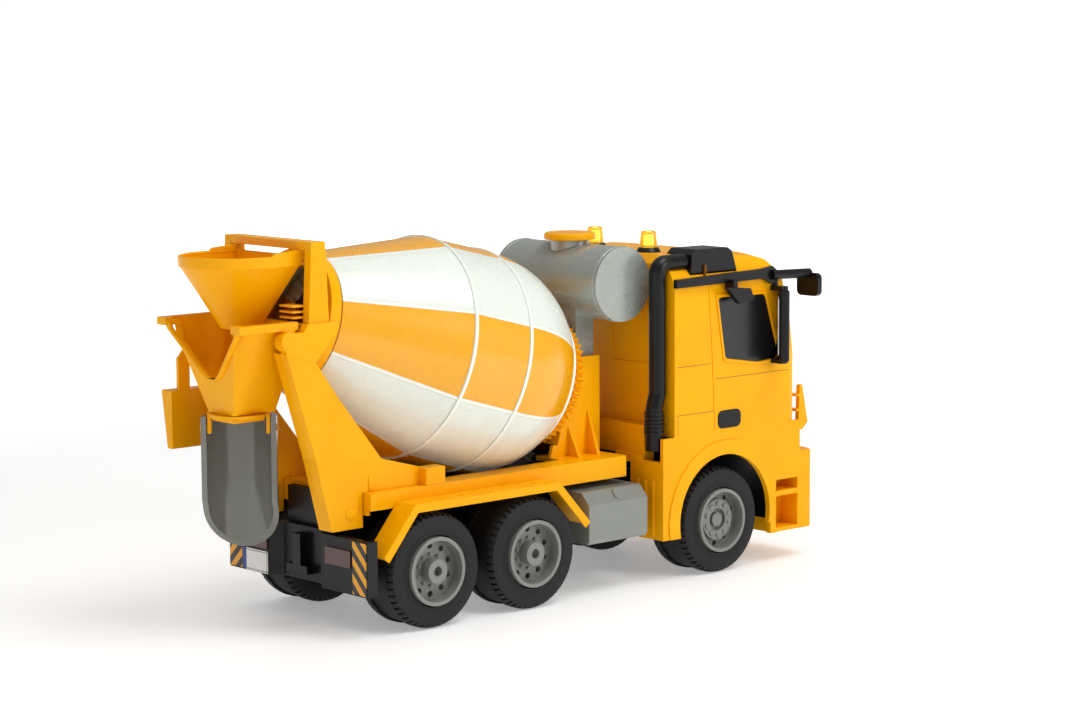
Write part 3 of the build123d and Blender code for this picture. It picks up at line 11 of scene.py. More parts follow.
import bpy
from mathutils import Euler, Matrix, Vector


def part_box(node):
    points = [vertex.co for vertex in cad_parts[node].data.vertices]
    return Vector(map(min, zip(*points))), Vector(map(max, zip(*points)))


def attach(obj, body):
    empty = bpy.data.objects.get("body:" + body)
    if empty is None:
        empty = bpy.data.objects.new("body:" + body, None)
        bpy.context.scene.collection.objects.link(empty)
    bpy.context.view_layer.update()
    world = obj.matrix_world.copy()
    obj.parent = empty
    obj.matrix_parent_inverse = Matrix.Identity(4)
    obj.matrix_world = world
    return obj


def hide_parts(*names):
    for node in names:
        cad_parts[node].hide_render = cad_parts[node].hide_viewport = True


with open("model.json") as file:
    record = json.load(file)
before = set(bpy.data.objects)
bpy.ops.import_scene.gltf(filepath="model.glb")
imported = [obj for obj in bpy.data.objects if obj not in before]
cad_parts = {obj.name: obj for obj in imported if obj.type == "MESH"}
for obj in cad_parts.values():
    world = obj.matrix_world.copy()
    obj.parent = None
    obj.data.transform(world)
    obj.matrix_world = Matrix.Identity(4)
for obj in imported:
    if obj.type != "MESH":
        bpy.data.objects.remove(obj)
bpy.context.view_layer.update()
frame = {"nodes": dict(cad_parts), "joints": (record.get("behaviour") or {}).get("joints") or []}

# %% [markdown]
# ## Working by hand, from code
# Every tool of Blender acts on what is selected, and a freshly loaded scene is selected all over. These few
# helpers clear the selection, pick faces by their place, and leave a finished piece at the origin.

# %% Helpers for modelling
mm = 0.001


def clear_selection():
    """Leave edit mode with nothing selected."""
    if bpy.context.mode != "OBJECT":
        bpy.ops.object.mode_set(mode="OBJECT")
    bpy.ops.object.select_all(action="DESELECT")


def only(piece):
    """Make one piece the only selected and active one."""
    clear_selection()
    piece.select_set(True)
    bpy.context.view_layer.objects.active = piece


def pick(piece, kind, wanted):
    """Select the piece's faces, edges or vertices that wanted() accepts, and stay in edit mode."""
    only(piece)
    mesh = piece.data
    for group in (mesh.vertices, mesh.edges, mesh.polygons):
        group.foreach_set("select", [False] * len(group))
    if kind == "FACE":
        for face in mesh.polygons:
            face.select = wanted(face.center, face.normal)
    elif kind == "VERT":
        for vertex in mesh.vertices:
            vertex.select = wanted(vertex.co)
    else:
        for edge in mesh.edges:
            ends = [mesh.vertices[index].co for index in edge.vertices]
            edge.select = wanted(ends[0], ends[1])
    bpy.ops.object.mode_set(mode="EDIT")
    bpy.ops.mesh.select_mode(type=kind)


def face_outwards(piece):
    """Turn every face of a piece outwards."""
    only(piece)
    bpy.ops.object.mode_set(mode="EDIT")
    bpy.ops.mesh.select_all(action="SELECT")
    bpy.ops.mesh.normals_make_consistent(inside=False)
    bpy.ops.object.mode_set(mode="OBJECT")


def settle(piece, name, body, material, angle=35):
    """Finish a piece: name it, put its place into its mesh, shade it, and let it ride on its body."""
    only(piece)
    bpy.ops.object.transform_apply(location=True, rotation=True, scale=True)
    face_outwards(piece)
    bpy.ops.object.shade_smooth_by_angle(angle=radians(angle))
    piece.name = name
    piece.data.name = name
    piece.data.materials.clear()
    piece.data.materials.append(material)
    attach(piece, body)
    return piece


def apply_modifiers(piece):
    """Apply every modifier of a piece in turn."""
    only(piece)
    for modifier in list(piece.modifiers):
        bpy.ops.object.modifier_apply(modifier=modifier.name)


def round_edges(piece, width, segments=2, angle=40):
    """Round the edges of a piece as a mould does."""
    modifier = piece.modifiers.new("round", "BEVEL")
    modifier.width = width
    modifier.segments = segments
    modifier.limit_method = "ANGLE"
    modifier.angle_limit = radians(angle)
    apply_modifiers(piece)


def add_cube(x, y, z, turn=(0, 0, 0)):
    """A cube between the (low, high) pairs x, y and z, in millimetres, turned about its centre."""
    clear_selection()
    centre = [sum(pair) / 2 * mm for pair in (x, y, z)]
    bpy.ops.mesh.primitive_cube_add(size=1, location=centre, rotation=turn)
    cube = bpy.context.object
    cube.scale = [(pair[1] - pair[0]) * mm for pair in (x, y, z)]
    bpy.ops.object.transform_apply(location=False, rotation=False, scale=True)
    return cube


def add_rod(centre, axis, radius, length, sides=32):
    """A rod about an axis, in millimetres, with its ends closed."""
    clear_selection()
    turn = Vector((0, 0, 1)).rotation_difference(Vector(axis).normalized()).to_euler()
    bpy.ops.mesh.primitive_cylinder_add(vertices=sides, radius=radius * mm, depth=length * mm,
                                        location=[value * mm for value in centre], rotation=turn)
    rod = bpy.context.object
    bpy.ops.object.transform_apply(location=True, rotation=True, scale=True)
    return rod


def join(pieces):
    """Join several pieces into the first."""
    clear_selection()
    for piece in pieces:
        piece.select_set(True)
    bpy.context.view_layer.objects.active = pieces[0]
    bpy.ops.object.join()
    return pieces[0]


print("helpers ready")

# %% [markdown]
# ## Colour and nodes
# Plastic is specified by its colour chip, so colours are written as sRGB hex and turned to linear light by one
# function. Another adds a node with its settings and links, which keeps each material readable.

# %% Helpers for materials


def linear(hex_colour, alpha=1.0):
    """sRGB hex to linear RGBA."""
    values = [int(hex_colour[start:start + 2], 16) / 255 for start in (1, 3, 5)]
    return [v / 12.92 if v <= 0.04045 else ((v + 0.055) / 1.055) ** 2.4 for v in values] + [alpha]


def add_node(tree, kind, settings=None, links=None):
    """Add a shader node, set its properties and sockets, and link sources into it."""
    node = tree.nodes.new("ShaderNode" + kind)
    for name, value in (settings or {}).items():
        if hasattr(node, str(name)):
            setattr(node, name, value)
        else:
            node.inputs[name].default_value = value
    for socket, source in (links or {}).items():
        tree.links.new(source, node.inputs[socket])
    return node


def blend_colour(tree, factor, first, second, kind="MIX"):
    """Mix two colours, each a socket or a constant, by a factor."""
    node = tree.nodes.new("ShaderNodeMix")
    node.data_type = "RGBA"
    node.blend_type = kind
    for index, value in ((0, factor), (6, first), (7, second)):
        if isinstance(value, bpy.types.NodeSocket):
            tree.links.new(value, node.inputs[index])
        else:
            node.inputs[index].default_value = value
    return node.outputs[2]


def new_material(name):
    """An empty node material with its shader, and the object coordinates of its piece."""
    material = bpy.data.materials.new(name)
    material.use_nodes = True
    tree = material.node_tree
    tree.nodes.clear()
    shader = add_node(tree, "BsdfPrincipled")
    add_node(tree, "OutputMaterial", links={"Surface": shader.outputs["BSDF"]})
    place = add_node(tree, "TexCoord").outputs["Object"]
    return material, tree, shader, place


def set_shader(material, values):
    """Set values on a material's own shader sockets."""
    shader = material.node_tree.nodes["Principled BSDF"]
    for socket, value in values.items():
        shader.inputs[socket].default_value = value


def edge_wear(tree, radius_mm, low, high):
    """How near a point lies to a worn edge, from 0 to 1."""
    soft = add_node(tree, "Bevel", {"samples": 4, "Radius": radius_mm * mm})
    real = add_node(tree, "NewGeometry")
    agree = add_node(tree, "VectorMath", {"operation": "DOT_PRODUCT"})
    tree.links.new(soft.outputs["Normal"], agree.inputs[0])
    tree.links.new(real.outputs["Normal"], agree.inputs[1])
    scaled = add_node(tree, "MapRange", {"From Min": high, "From Max": low}, {"Value": agree.outputs["Value"]})
    return scaled.outputs["Result"]


def moulded(name, colour, deep, edge, roughness, grain_mm=0.35, grain=0.06, coat=0.0, metallic=0.0, mottle=0.5):
    """Moulded plastic: slow flow shades, fine grain, worn edges and painted shade in the corners."""
    material, tree, shader, place = new_material(name)
    flow = add_node(tree, "TexNoise", {"Scale": 1 / (38 * mm), "Detail": 3.0, "Roughness": 0.55}, {"Vector": place})
    shade = add_node(tree, "MapRange", {"From Min": 0.35, "From Max": 0.7, "To Max": mottle},
                     {"Value": flow.outputs["Fac"]})
    body = blend_colour(tree, shade.outputs["Result"], linear(colour), linear(deep))
    # painted shade: where ambient occlusion finds a close corner, the colour is darkened towards the deep colour
    corner = add_node(tree, "AmbientOcclusion", {"samples": 4, "Distance": 5 * mm})
    corner_shade = add_node(tree, "MapRange", {"From Min": 0.25, "From Max": 0.8, "To Min": 0.35, "To Max": 0.0},
                    {"Value": corner.outputs["AO"]})
    corner_shaded = blend_colour(tree, corner_shade.outputs["Result"], body, linear(deep))
    wear = edge_wear(tree, 0.35, 0.86, 0.99)
    worn = add_node(tree, "Math", {"operation": "MULTIPLY", 1: 0.45}, {0: wear})
    final = blend_colour(tree, worn.outputs["Value"], corner_shaded, linear(edge))
    tree.links.new(final, shader.inputs["Base Color"])
    smears = add_node(tree, "TexNoise", {"Scale": 1 / (9 * mm), "Detail": 4.0}, {"Vector": place})
    gloss = add_node(tree, "MapRange", {"To Min": roughness - 0.05, "To Max": roughness + 0.08},
                     {"Value": smears.outputs["Fac"]})
    tree.links.new(gloss.outputs["Result"], shader.inputs["Roughness"])
    fine = add_node(tree, "TexNoise", {"Scale": 1 / (grain_mm * mm), "Detail": 2.0}, {"Vector": place})
    relief = add_node(tree, "Bump", {"Strength": grain, "Distance": 0.1 * mm}, {"Height": fine.outputs["Fac"]})
    tree.links.new(relief.outputs["Normal"], shader.inputs["Normal"])
    shader.inputs["IOR"].default_value = 1.5
    shader.inputs["Coat Weight"].default_value = coat
    shader.inputs["Coat Roughness"].default_value = 0.12
    shader.inputs["Metallic"].default_value = metallic
    return material


print("node helpers ready")

# %% [markdown]
# ## Yellow ABS
# Cab, deck, frame and funnels are injection-moulded ABS, coloured right through. It has a satin gloss with a
# faint orange peel, slow shades where the melt flowed, and a paler line where an edge has been rubbed.

# %% Yellow ABS
yellow_abs = moulded("yellow_abs", "#F9B000", "#EE9C00", "#FFC22C", 0.28)
set_shader(yellow_abs, {"Specular IOR Level": 0.14})
print(yellow_abs.name, len(yellow_abs.node_tree.nodes), "nodes")

# %% [markdown]
# ## Black and grey mouldings
# The chassis, pipe and mirrors are black polypropylene with a drier sheen. Rims, chute and the small tanks are
# grey ABS. The water tank is the same plastic with a thin coat of silver-grey paint.

# %% Black and grey plastics
black_pp = moulded("black_polypropylene", "#0C0C0F", "#070709", "#242428", 0.30, grain=0.10, mottle=0.35)
set_shader(black_pp, {"Specular IOR Level": 0.28})
rim_grey_abs = moulded("rim_grey_abs", "#7D7F7A", "#6B6D68", "#A0A29C", 0.30, coat=0.2)
chute_grey_abs = moulded("chute_grey_abs", "#76776F", "#64655E", "#A6A79E", 0.2, coat=0.5)
tank_grey_paint = moulded("tank_grey_paint", "#9DA29B", "#8A8F88", "#BEC2BB", 0.26, coat=0.5, metallic=0.25)
side_tank_abs = moulded("side_tank_grey_abs", "#868A84", "#747872", "#A9ADA6", 0.3, coat=0.3)
print("plastics", [m.name for m in (black_pp, rim_grey_abs, chute_grey_abs, tank_grey_paint, side_tank_abs)])

# %% [markdown]
# ## Tyre rubber
# The tyres are soft black PVC. It is nearly matt, a little greyer where the sidewall is handled, with a fine
# tooth that spreads the light.

# %% Tyre rubber
tyre_rubber = moulded("tyre_rubber", "#17181A", "#101012", "#27282A", 0.62, grain_mm=0.25, grain=0.18)
set_shader(tyre_rubber, {"Specular IOR Level": 0.35})
print(tyre_rubber.name)

# %% [markdown]
# ## The drum's paint
# The drum is white ABS with every other sector painted yellow, and a raised white line along each border. The
# pattern turns with the drum, so it is drawn in the drum's own coordinates: a Mapping node lays its axis along X,
# and the angle about that axis picks the sector.

# %% Drum paint
spin = [joint for joint in frame["joints"] if joint["name"] == "drum_spin"][0]
drum_centre = Vector(spin["pos_m"])
drum_direction = Vector(spin["axis"])
drum_turn = drum_direction.rotation_difference(Vector((1, 0, 0)))
drum_offset = -(drum_turn @ drum_centre)
sectors = 4
line_width = 1.7
ring_places = (-40.6, -6.0, 40.7)


def painted_drum():
    """White drum with painted sectors and raised lines."""
    material, tree, shader, place = new_material("painted_drum_abs")
    own = add_node(tree, "Mapping", {"Location": drum_offset, "Rotation": drum_turn.to_euler()}, {"Vector": place})
    parts = add_node(tree, "SeparateXYZ", links={"Vector": own.outputs["Vector"]})
    angle = add_node(tree, "Math", {"operation": "ARCTAN2"}, {0: parts.outputs["Y"], 1: parts.outputs["Z"]})
    turns = add_node(tree, "Math", {"operation": "MULTIPLY", 1: float(sectors)}, {0: angle.outputs["Value"]})
    wave = add_node(tree, "Math", {"operation": "COSINE"}, {0: turns.outputs["Value"]})
    sector = add_node(tree, "Math", {"operation": "GREATER_THAN", 1: 0.0}, {0: wave.outputs["Value"]})
    across = add_node(tree, "CombineXYZ", links={"X": parts.outputs["Y"], "Y": parts.outputs["Z"]})
    radius = add_node(tree, "VectorMath", {"operation": "LENGTH"})
    tree.links.new(across.outputs["Vector"], radius.inputs[0])
    border = add_node(tree, "Math", {"operation": "ABSOLUTE"}, {0: wave.outputs["Value"]})
    away = add_node(tree, "Math", {"operation": "MULTIPLY"},
                    {0: border.outputs["Value"], 1: radius.outputs["Value"]})
    reach = line_width / 2 * sectors * mm
    line = add_node(tree, "MapRange", {"From Min": reach * 1.15, "From Max": reach * 0.85},
                    {"Value": away.outputs["Value"]})
    mask = line.outputs["Result"]
    for ring in ring_places:
        near = add_node(tree, "Math", {"operation": "COMPARE", 1: ring * mm, 2: 0.95 * mm}, {0: parts.outputs["X"]})
        both = add_node(tree, "Math", {"operation": "MAXIMUM"}, {0: mask, 1: near.outputs["Value"]})
        mask = both.outputs["Value"]
    streaks = add_node(tree, "Mapping", {"Scale": Vector((0.25, 1.0, 1.0))}, {"Vector": own.outputs["Vector"]})
    flow = add_node(tree, "TexNoise", {"Scale": 1 / (14 * mm), "Detail": 4.0}, {"Vector": streaks.outputs["Vector"]})
    yellow = blend_colour(tree, flow.outputs["Fac"], linear("#F3AE10"), linear("#EDA40A"))
    white = blend_colour(tree, flow.outputs["Fac"], linear("#E4EAE0"), linear("#DEE5DB"))
    paint = blend_colour(tree, sector.outputs["Value"], white, yellow)
    lined = blend_colour(tree, mask, paint, linear("#F1F5EC"))
    # painted shade: the drum's corners, found by ambient occlusion, are darkened towards grey #9C9A90
    corner = add_node(tree, "AmbientOcclusion", {"samples": 4, "Distance": 6 * mm})
    corner_shade = add_node(tree, "MapRange", {"From Min": 0.2, "From Max": 0.7, "To Min": 0.4, "To Max": 0.0},
                    {"Value": corner.outputs["AO"]})
    final = blend_colour(tree, corner_shade.outputs["Result"], lined, linear("#9C9A90"))
    tree.links.new(final, shader.inputs["Base Color"])
    smears = add_node(tree, "TexNoise", {"Scale": 1 / (11 * mm), "Detail": 4.0}, {"Vector": place})
    gloss = add_node(tree, "MapRange", {"To Min": 0.2, "To Max": 0.34}, {"Value": smears.outputs["Fac"]})
    tree.links.new(gloss.outputs["Result"], shader.inputs["Roughness"])
    relief = add_node(tree, "Bump", {"Strength": 0.8, "Distance": 0.35 * mm}, {"Height": mask})
    tree.links.new(relief.outputs["Normal"], shader.inputs["Normal"])
    shader.inputs["Coat Weight"].default_value = 0.35
    shader.inputs["Coat Roughness"].default_value = 0.1
    return material


drum_paint = painted_drum()
print(drum_paint.name, "axis", [round(v, 4) for v in drum_direction])

# %% [markdown]
# ## Lenses, glass, steel and foil
# The beacons are clear amber polycarbonate over a small lamp. The windows are smoked styrene, almost black. The
# screws, axles and motor cans are bright steel, and the mirrors carry a foil.

# %% Lenses, glass and metals


def lens(name, colour, strength):
    """Clear coloured polycarbonate with a little light inside, and painted highlights along its ribs."""
    material, tree, shader, place = new_material(name)
    ribs = add_node(tree, "TexWave", {"wave_type": "BANDS", "bands_direction": "Z", "Scale": 1 / (2.4 * mm)},
                    {"Vector": place})
    # painted highlight: the lens ribs are paled up to a quarter of the way towards cream #FFF2C0
    rib_highlight = blend_colour(tree, ribs.outputs["Fac"], linear(colour), linear("#FFF2C0"))
    soft = add_node(tree, "Math", {"operation": "MULTIPLY", 1: 0.25}, {0: ribs.outputs["Fac"]})
    shade = blend_colour(tree, soft.outputs["Value"], linear(colour), rib_highlight)
    tree.links.new(shade, shader.inputs["Base Color"])
    relief = add_node(tree, "Bump", {"Strength": 0.3, "Distance": 0.2 * mm}, {"Height": ribs.outputs["Fac"]})
    tree.links.new(relief.outputs["Normal"], shader.inputs["Normal"])
    shader.inputs["Transmission Weight"].default_value = 0.75
    shader.inputs["Roughness"].default_value = 0.12
    shader.inputs["IOR"].default_value = 1.58
    shader.inputs["Emission Color"].default_value = linear(colour)
    shader.inputs["Emission Strength"].default_value = strength
    return material


def metal(name, colour, roughness, grain_mm):
    """Bare metal with fine turning marks."""
    material, tree, shader, place = new_material(name)
    marks = add_node(tree, "TexNoise", {"Scale": 1 / (grain_mm * mm), "Detail": 3.0}, {"Vector": place})
    tone = blend_colour(tree, marks.outputs["Fac"], linear(colour), linear("#8E9092"))
    tree.links.new(tone, shader.inputs["Base Color"])
    gloss = add_node(tree, "MapRange", {"To Min": roughness - 0.08, "To Max": roughness + 0.1},
                     {"Value": marks.outputs["Fac"]})
    tree.links.new(gloss.outputs["Result"], shader.inputs["Roughness"])
    shader.inputs["Metallic"].default_value = 1.0
    return material


amber_lens = lens("amber_polycarbonate", "#FFC400", 0.15)
clear_lens = lens("clear_polycarbonate", "#F4F6F2", 0.0)
smoked_styrene = moulded("smoked_styrene", "#0B0B0D", "#060607", "#1E1E22", 0.3, grain=0.01, coat=0.1)
red_lens = moulded("red_lens_styrene", "#4A0F12", "#2A0709", "#6A2022", 0.22, coat=0.5)
bright_steel = metal("bright_steel", "#C4C6C8", 0.28, 0.6)
mirror_foil = metal("mirror_foil", "#E6E8EA", 0.1, 4.0)
print("lenses, glass and metals ready")

# %% [markdown]
# ## Printed plates
# The rear corners carry printed foil with slanting yellow and black bars, and the number plate is a blank white
# foil with a blue end. Bars are drawn from the plate's own height and width.

# %% Printed foils


def striped_foil():
    """Slanting black and yellow bars, which lean outwards on both sides of the truck."""
    material, tree, shader, place = new_material("warning_foil")
    parts = add_node(tree, "SeparateXYZ", links={"Vector": place})
    outwards = add_node(tree, "Math", {"operation": "ABSOLUTE"}, {0: parts.outputs["Y"]})
    slant = add_node(tree, "Math", {"operation": "ADD"}, {0: outwards.outputs["Value"], 1: parts.outputs["Z"]})
    steps = add_node(tree, "Math", {"operation": "DIVIDE", 1: 8.2 * mm}, {0: slant.outputs["Value"]})
    part = add_node(tree, "Math", {"operation": "FRACT"}, {0: steps.outputs["Value"]})
    bar = add_node(tree, "Math", {"operation": "GREATER_THAN", 1: 0.5}, {0: part.outputs["Value"]})
    print_noise = add_node(tree, "TexNoise", {"Scale": 1 / (3 * mm), "Detail": 3.0}, {"Vector": place})
    yellow = blend_colour(tree, print_noise.outputs["Fac"], linear("#F0AA1E"), linear("#E59C10"))
    final = blend_colour(tree, bar.outputs["Value"], linear("#2B2925"), yellow)
    tree.links.new(final, shader.inputs["Base Color"])
    gloss = add_node(tree, "MapRange", {"To Min": 0.28, "To Max": 0.4}, {"Value": print_noise.outputs["Fac"]})
    tree.links.new(gloss.outputs["Result"], shader.inputs["Roughness"])
    return material


def plate_foil():
    """White foil with a blue end and a thin dark border."""
    low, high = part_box("number_plate")
    material, tree, shader, place = new_material("plate_foil")
    parts = add_node(tree, "SeparateXYZ", links={"Vector": place})
    blue = add_node(tree, "Math", {"operation": "GREATER_THAN", 1: high.y - 3.2 * mm}, {0: parts.outputs["Y"]})
    centre = (low + high) / 2
    reach = (high - low) / 2
    masks = []
    for axis, middle, half in (("Y", centre.y, reach.y), ("Z", centre.z, reach.z)):
        away = add_node(tree, "Math", {"operation": "SUBTRACT", 1: middle}, {0: parts.outputs[axis]})
        size = add_node(tree, "Math", {"operation": "ABSOLUTE"}, {0: away.outputs["Value"]})
        masks.append(add_node(tree, "Math", {"operation": "COMPARE", 1: half - 0.75 * mm, 2: 0.16 * mm},
                              {0: size.outputs["Value"]}))
    border = add_node(tree, "Math", {"operation": "MAXIMUM"},
                      {0: masks[0].outputs["Value"], 1: masks[1].outputs["Value"]})
    noise = add_node(tree, "TexNoise", {"Scale": 1 / (4 * mm), "Detail": 3.0}, {"Vector": place})
    white = blend_colour(tree, noise.outputs["Fac"], linear("#F2F2EE"), linear("#E2E2DC"))
    ended = blend_colour(tree, blue.outputs["Value"], white, linear("#1F3E8C"))
    final = blend_colour(tree, border.outputs["Value"], ended, linear("#26262A"))
    tree.links.new(final, shader.inputs["Base Color"])
    shader.inputs["Roughness"].default_value = 0.3
    return material


warning_foil = striped_foil()
number_foil = plate_foil()
print("foils ready")

# %% [markdown]
# ## Hidden parts
# The circuit board and the batteries show only through the underside and the cab's open floor, but they are
# finished all the same: green solder mask, and a printed sleeve with a gold end.

# %% Board and battery finishes
board_green = moulded("solder_mask", "#1E5B32", "#123F22", "#4C8B5C", 0.35)
battery_sleeve = moulded("battery_sleeve", "#24324A", "#18233A", "#C79A4A", 0.3, coat=0.3)
print("board and battery finishes ready")

# %% [markdown]
# ## Dressing the CAD mouldings
# A moulding never has a knife edge. Each CAD node gets its plastic, and modifiers that leave its mesh as it is:
# Weld joins its loose triangles, Decimate dissolves the extra edges of its flats, Bevel rounds the real edges where
# the node has an edge radius, and Weighted Normal keeps the flats flat.

# %% Finish and edge radius of each node
fender_abs = moulded("fender_yellow_abs", "#F9B000", "#EE9C00", "#FFC22C", 0.28)
set_shader(fender_abs, {"Specular IOR Level": 0.14})
finishes = {
    "yellow": (yellow_abs, 0.35, ["cab_shell", "cab_skirt_left", "cab_skirt_right", "deck", "leg_left", "leg_right",
                                  "gantry", "hopper", "collector", "chute_swivel", "control_box", "front_pedestal",
                                  "tank_lid", "front_bumper", "front_grille"]),
    "gear": (yellow_abs, 0.12, ["drum_gear"]),
    "fender": (fender_abs, 0.3, ["rear_fenders"]),
    "drum": (drum_paint, 0.2, ["drum_shell"]),
    "white": (drum_paint, 0.0, ["drum_blades"]),
    "black": (black_pp, 0.3, ["chassis_frame", "rear_bumper", "power_switch", "knuckle_left", "knuckle_right",
                              "tie_rod", "roof_rail_left", "roof_rail_right", "air_box", "snorkel", "beacon_bases",
                              "door_handles"]),
    "rims": (rim_grey_abs, 0.2, ["middle_rims", "rear_rims", "front_rim_left", "front_rim_right", "battery_door",
                                 "drum_pinion", "motor_pinion"]),
    "chute": (chute_grey_abs, 0.35, ["chute"]),
    "tank": (tank_grey_paint, 0.5, ["water_tank"]),
    "side_tank": (side_tank_abs, 0.4, ["side_tanks"]),
    "rubber": (tyre_rubber, 0.0, ["middle_tyres", "rear_tyres", "front_tyre_left", "front_tyre_right"]),
    "steel": (bright_steel, 0.1, ["middle_axle", "rear_axle", "screws", "drive_motor", "drum_motor"]),
    "glass": (smoked_styrene, 0.2, ["side_windows", "windscreen"]),
    "mirror": (mirror_foil, 0.1, ["mirror_glasses"]),
    "amber": (amber_lens, 0.2, ["beacon_lenses"]),
    "red": (red_lens, 0.15, ["tail_lamps"]),
    "clear": (clear_lens, 0.2, ["headlamps"]),
    "warning": (warning_foil, 0.0, ["warning_plates"]),
    "plate": (number_foil, 0.0, ["number_plate"]),
    "board": (board_green, 0.0, ["circuit_board"]),
    "battery": (battery_sleeve, 0.2, ["battery_cells"]),
}


def dress(node, material, edge_radius):
    """Give a CAD node its material and soften its edges."""
    piece = frame["nodes"][node]
    piece.data.materials.clear()
    piece.data.materials.append(material)
    for face in piece.data.polygons:
        face.use_smooth = True
    weld = piece.modifiers.new("weld", "WELD")
    weld.merge_threshold = 0.002 * mm
    flat = piece.modifiers.new("flat", "DECIMATE")
    flat.decimate_type = "DISSOLVE"
    flat.angle_limit = radians(0.4)
    if edge_radius:
        bevel = piece.modifiers.new("edge", "BEVEL")
        bevel.width = edge_radius * mm
        bevel.segments = 2
        bevel.limit_method = "ANGLE"
        bevel.angle_limit = radians(34)
        bevel.use_clamp_overlap = True
    even = piece.modifiers.new("even", "WEIGHTED_NORMAL")
    even.weight = 100


for finish, (material, edge_radius, nodes) in finishes.items():
    for node in nodes:
        dress(node, material, edge_radius)
undressed = sorted(set(frame["nodes"]) - {node for entry in finishes.values() for node in entry[2]})
print("finishes", len(finishes), "undressed", undressed)

# %% [markdown]
# ## The tyres
# A truck tyre has a bead on the rim, a smooth side wall, notched shoulders and a tread cut by zigzag grooves. It
# could be a turned profile, but notches and grooves go round in steps, so the carcass is a ring extruded along its
# profile, with 144 faces round: then any third face can be a notch.

# %% One tyre carcass
wheel_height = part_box("rear_tyres")[1].z / 2
tyre_steps = 144
tyre_half_width = 13.0 * mm
side_profile = ((12.0, 16.5), (13.0, 17.3), (12.6, 18.5), (12.95, 19.4), (13.0, 24.2), (12.5, 25.9),
                (11.2, 27.0), (9.2, 27.5))
tread_places = (6.1, 4.9, 0.6, -0.6, -4.9, -6.1)
tyre_profile = side_profile + tuple((y, 27.5) for y in tread_places) + \
    tuple((-y, radius) for y, radius in reversed(side_profile))


def tyre_step(point, centre, width=1):
    """Number of the step round the tyre at a point, counted in groups of width steps."""
    from_centre = point - centre
    turn = (atan2(from_centre.z, from_centre.x) / (2 * pi)) % 1.0
    return int(turn * tyre_steps / width + 1e-4)


def add_carcass(centre):
    """Ring of rubber extruded along the tyre's profile and closed at the bead."""
    clear_selection()
    first_y, first_radius = tyre_profile[0]
    bpy.ops.mesh.primitive_circle_add(vertices=tyre_steps, radius=first_radius * mm,
                                      location=centre + Vector((0, first_y * mm, 0)), rotation=(pi / 2, 0, 0))
    tyre = bpy.context.object
    bpy.ops.object.transform_apply(location=True, rotation=True, scale=True)
    bpy.ops.object.mode_set(mode="EDIT")
    bpy.ops.mesh.select_all(action="SELECT")
    for (y0, radius0), (y1, radius1) in zip(tyre_profile, tyre_profile[1:]):
        bpy.ops.mesh.extrude_edges_move(TRANSFORM_OT_translate={"value": (0, (y1 - y0) * mm, 0)})
        share = radius1 / radius0
        bpy.ops.transform.resize(value=(share, 1, share), center_override=centre)
    bpy.ops.mesh.select_mode(type="EDGE")
    bpy.ops.mesh.select_all(action="DESELECT")
    bpy.ops.mesh.select_non_manifold()
    bpy.ops.mesh.bridge_edge_loops()
    face_outwards(tyre)
    return tyre


tyre_home = Vector((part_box("rear_axle")[0].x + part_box("rear_axle")[1].x, 0, 2 * wheel_height)) / 2
tyre_home.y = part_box("rear_tyres")[0].y + tyre_half_width
master_tyre = add_carcass(tyre_home)
print("carcass faces", len(master_tyre.data.polygons))

# %% Grooves and notches
zigzag = 0.8 * mm
groove_depth = 1.1 * mm
notch_depth = 0.9 * mm
for place in tread_places:
    pick(master_tyre, "VERT", lambda co: abs(co.y - tyre_home.y - place * mm) < 0.05 * mm
         and tyre_step(co, tyre_home, 3) % 2 == 0)
    bpy.ops.transform.translate(value=(0, zigzag, 0))
groove_pairs = ((6.1, 4.9), (0.6, -0.6), (-4.9, -6.1))
pick(master_tyre, "FACE", lambda centre, normal: any(
    abs(centre.y - tyre_home.y - (high + low) / 2 * mm - zigzag / 2) < 0.55 * mm for high, low in groove_pairs)
    and (centre - tyre_home).xz.length > 27.3 * mm)
bpy.ops.mesh.extrude_region_shrink_fatten(TRANSFORM_OT_shrink_fatten={"value": -groove_depth})
pick(master_tyre, "FACE", lambda centre, normal: abs(centre.y - tyre_home.y) > 9.4 * mm
     and (centre - tyre_home).xz.length > 26.0 * mm and tyre_step(centre, tyre_home) % 3 == 1)
bpy.ops.mesh.extrude_region_shrink_fatten(TRANSFORM_OT_shrink_fatten={"value": -notch_depth})
clear_selection()
print("treaded faces", len(master_tyre.data.polygons))

# %% Six tyres


def copy_piece(piece, move):
    """A copy of a piece with its own mesh, moved by a vector."""
    twin = piece.copy()
    twin.data = piece.data.copy()
    bpy.context.scene.collection.objects.link(twin)
    twin.location = move
    only(twin)
    bpy.ops.object.transform_apply(location=True, rotation=True, scale=True)
    return twin


for node, body in (("rear_tyres", "rear_wheels"), ("middle_tyres", "middle_wheels"),
                   ("front_tyre_left", "front_wheel_left"), ("front_tyre_right", "front_wheel_right")):
    low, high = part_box(node)
    places_y = [(low.y + high.y) / 2]
    if high.y - low.y > 3 * tyre_half_width:
        places_y = [low.y + tyre_half_width, high.y - tyre_half_width]
    twins = []
    for centre_y in places_y:
        place = Vector(((low.x + high.x) / 2, centre_y, wheel_height))
        twins.append(copy_piece(master_tyre, place - tyre_home))
    tyre = settle(join(twins), "treaded_" + node, body, tyre_rubber, angle=32)
    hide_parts(node)
bpy.data.objects.remove(master_tyre)
print("tyres made")
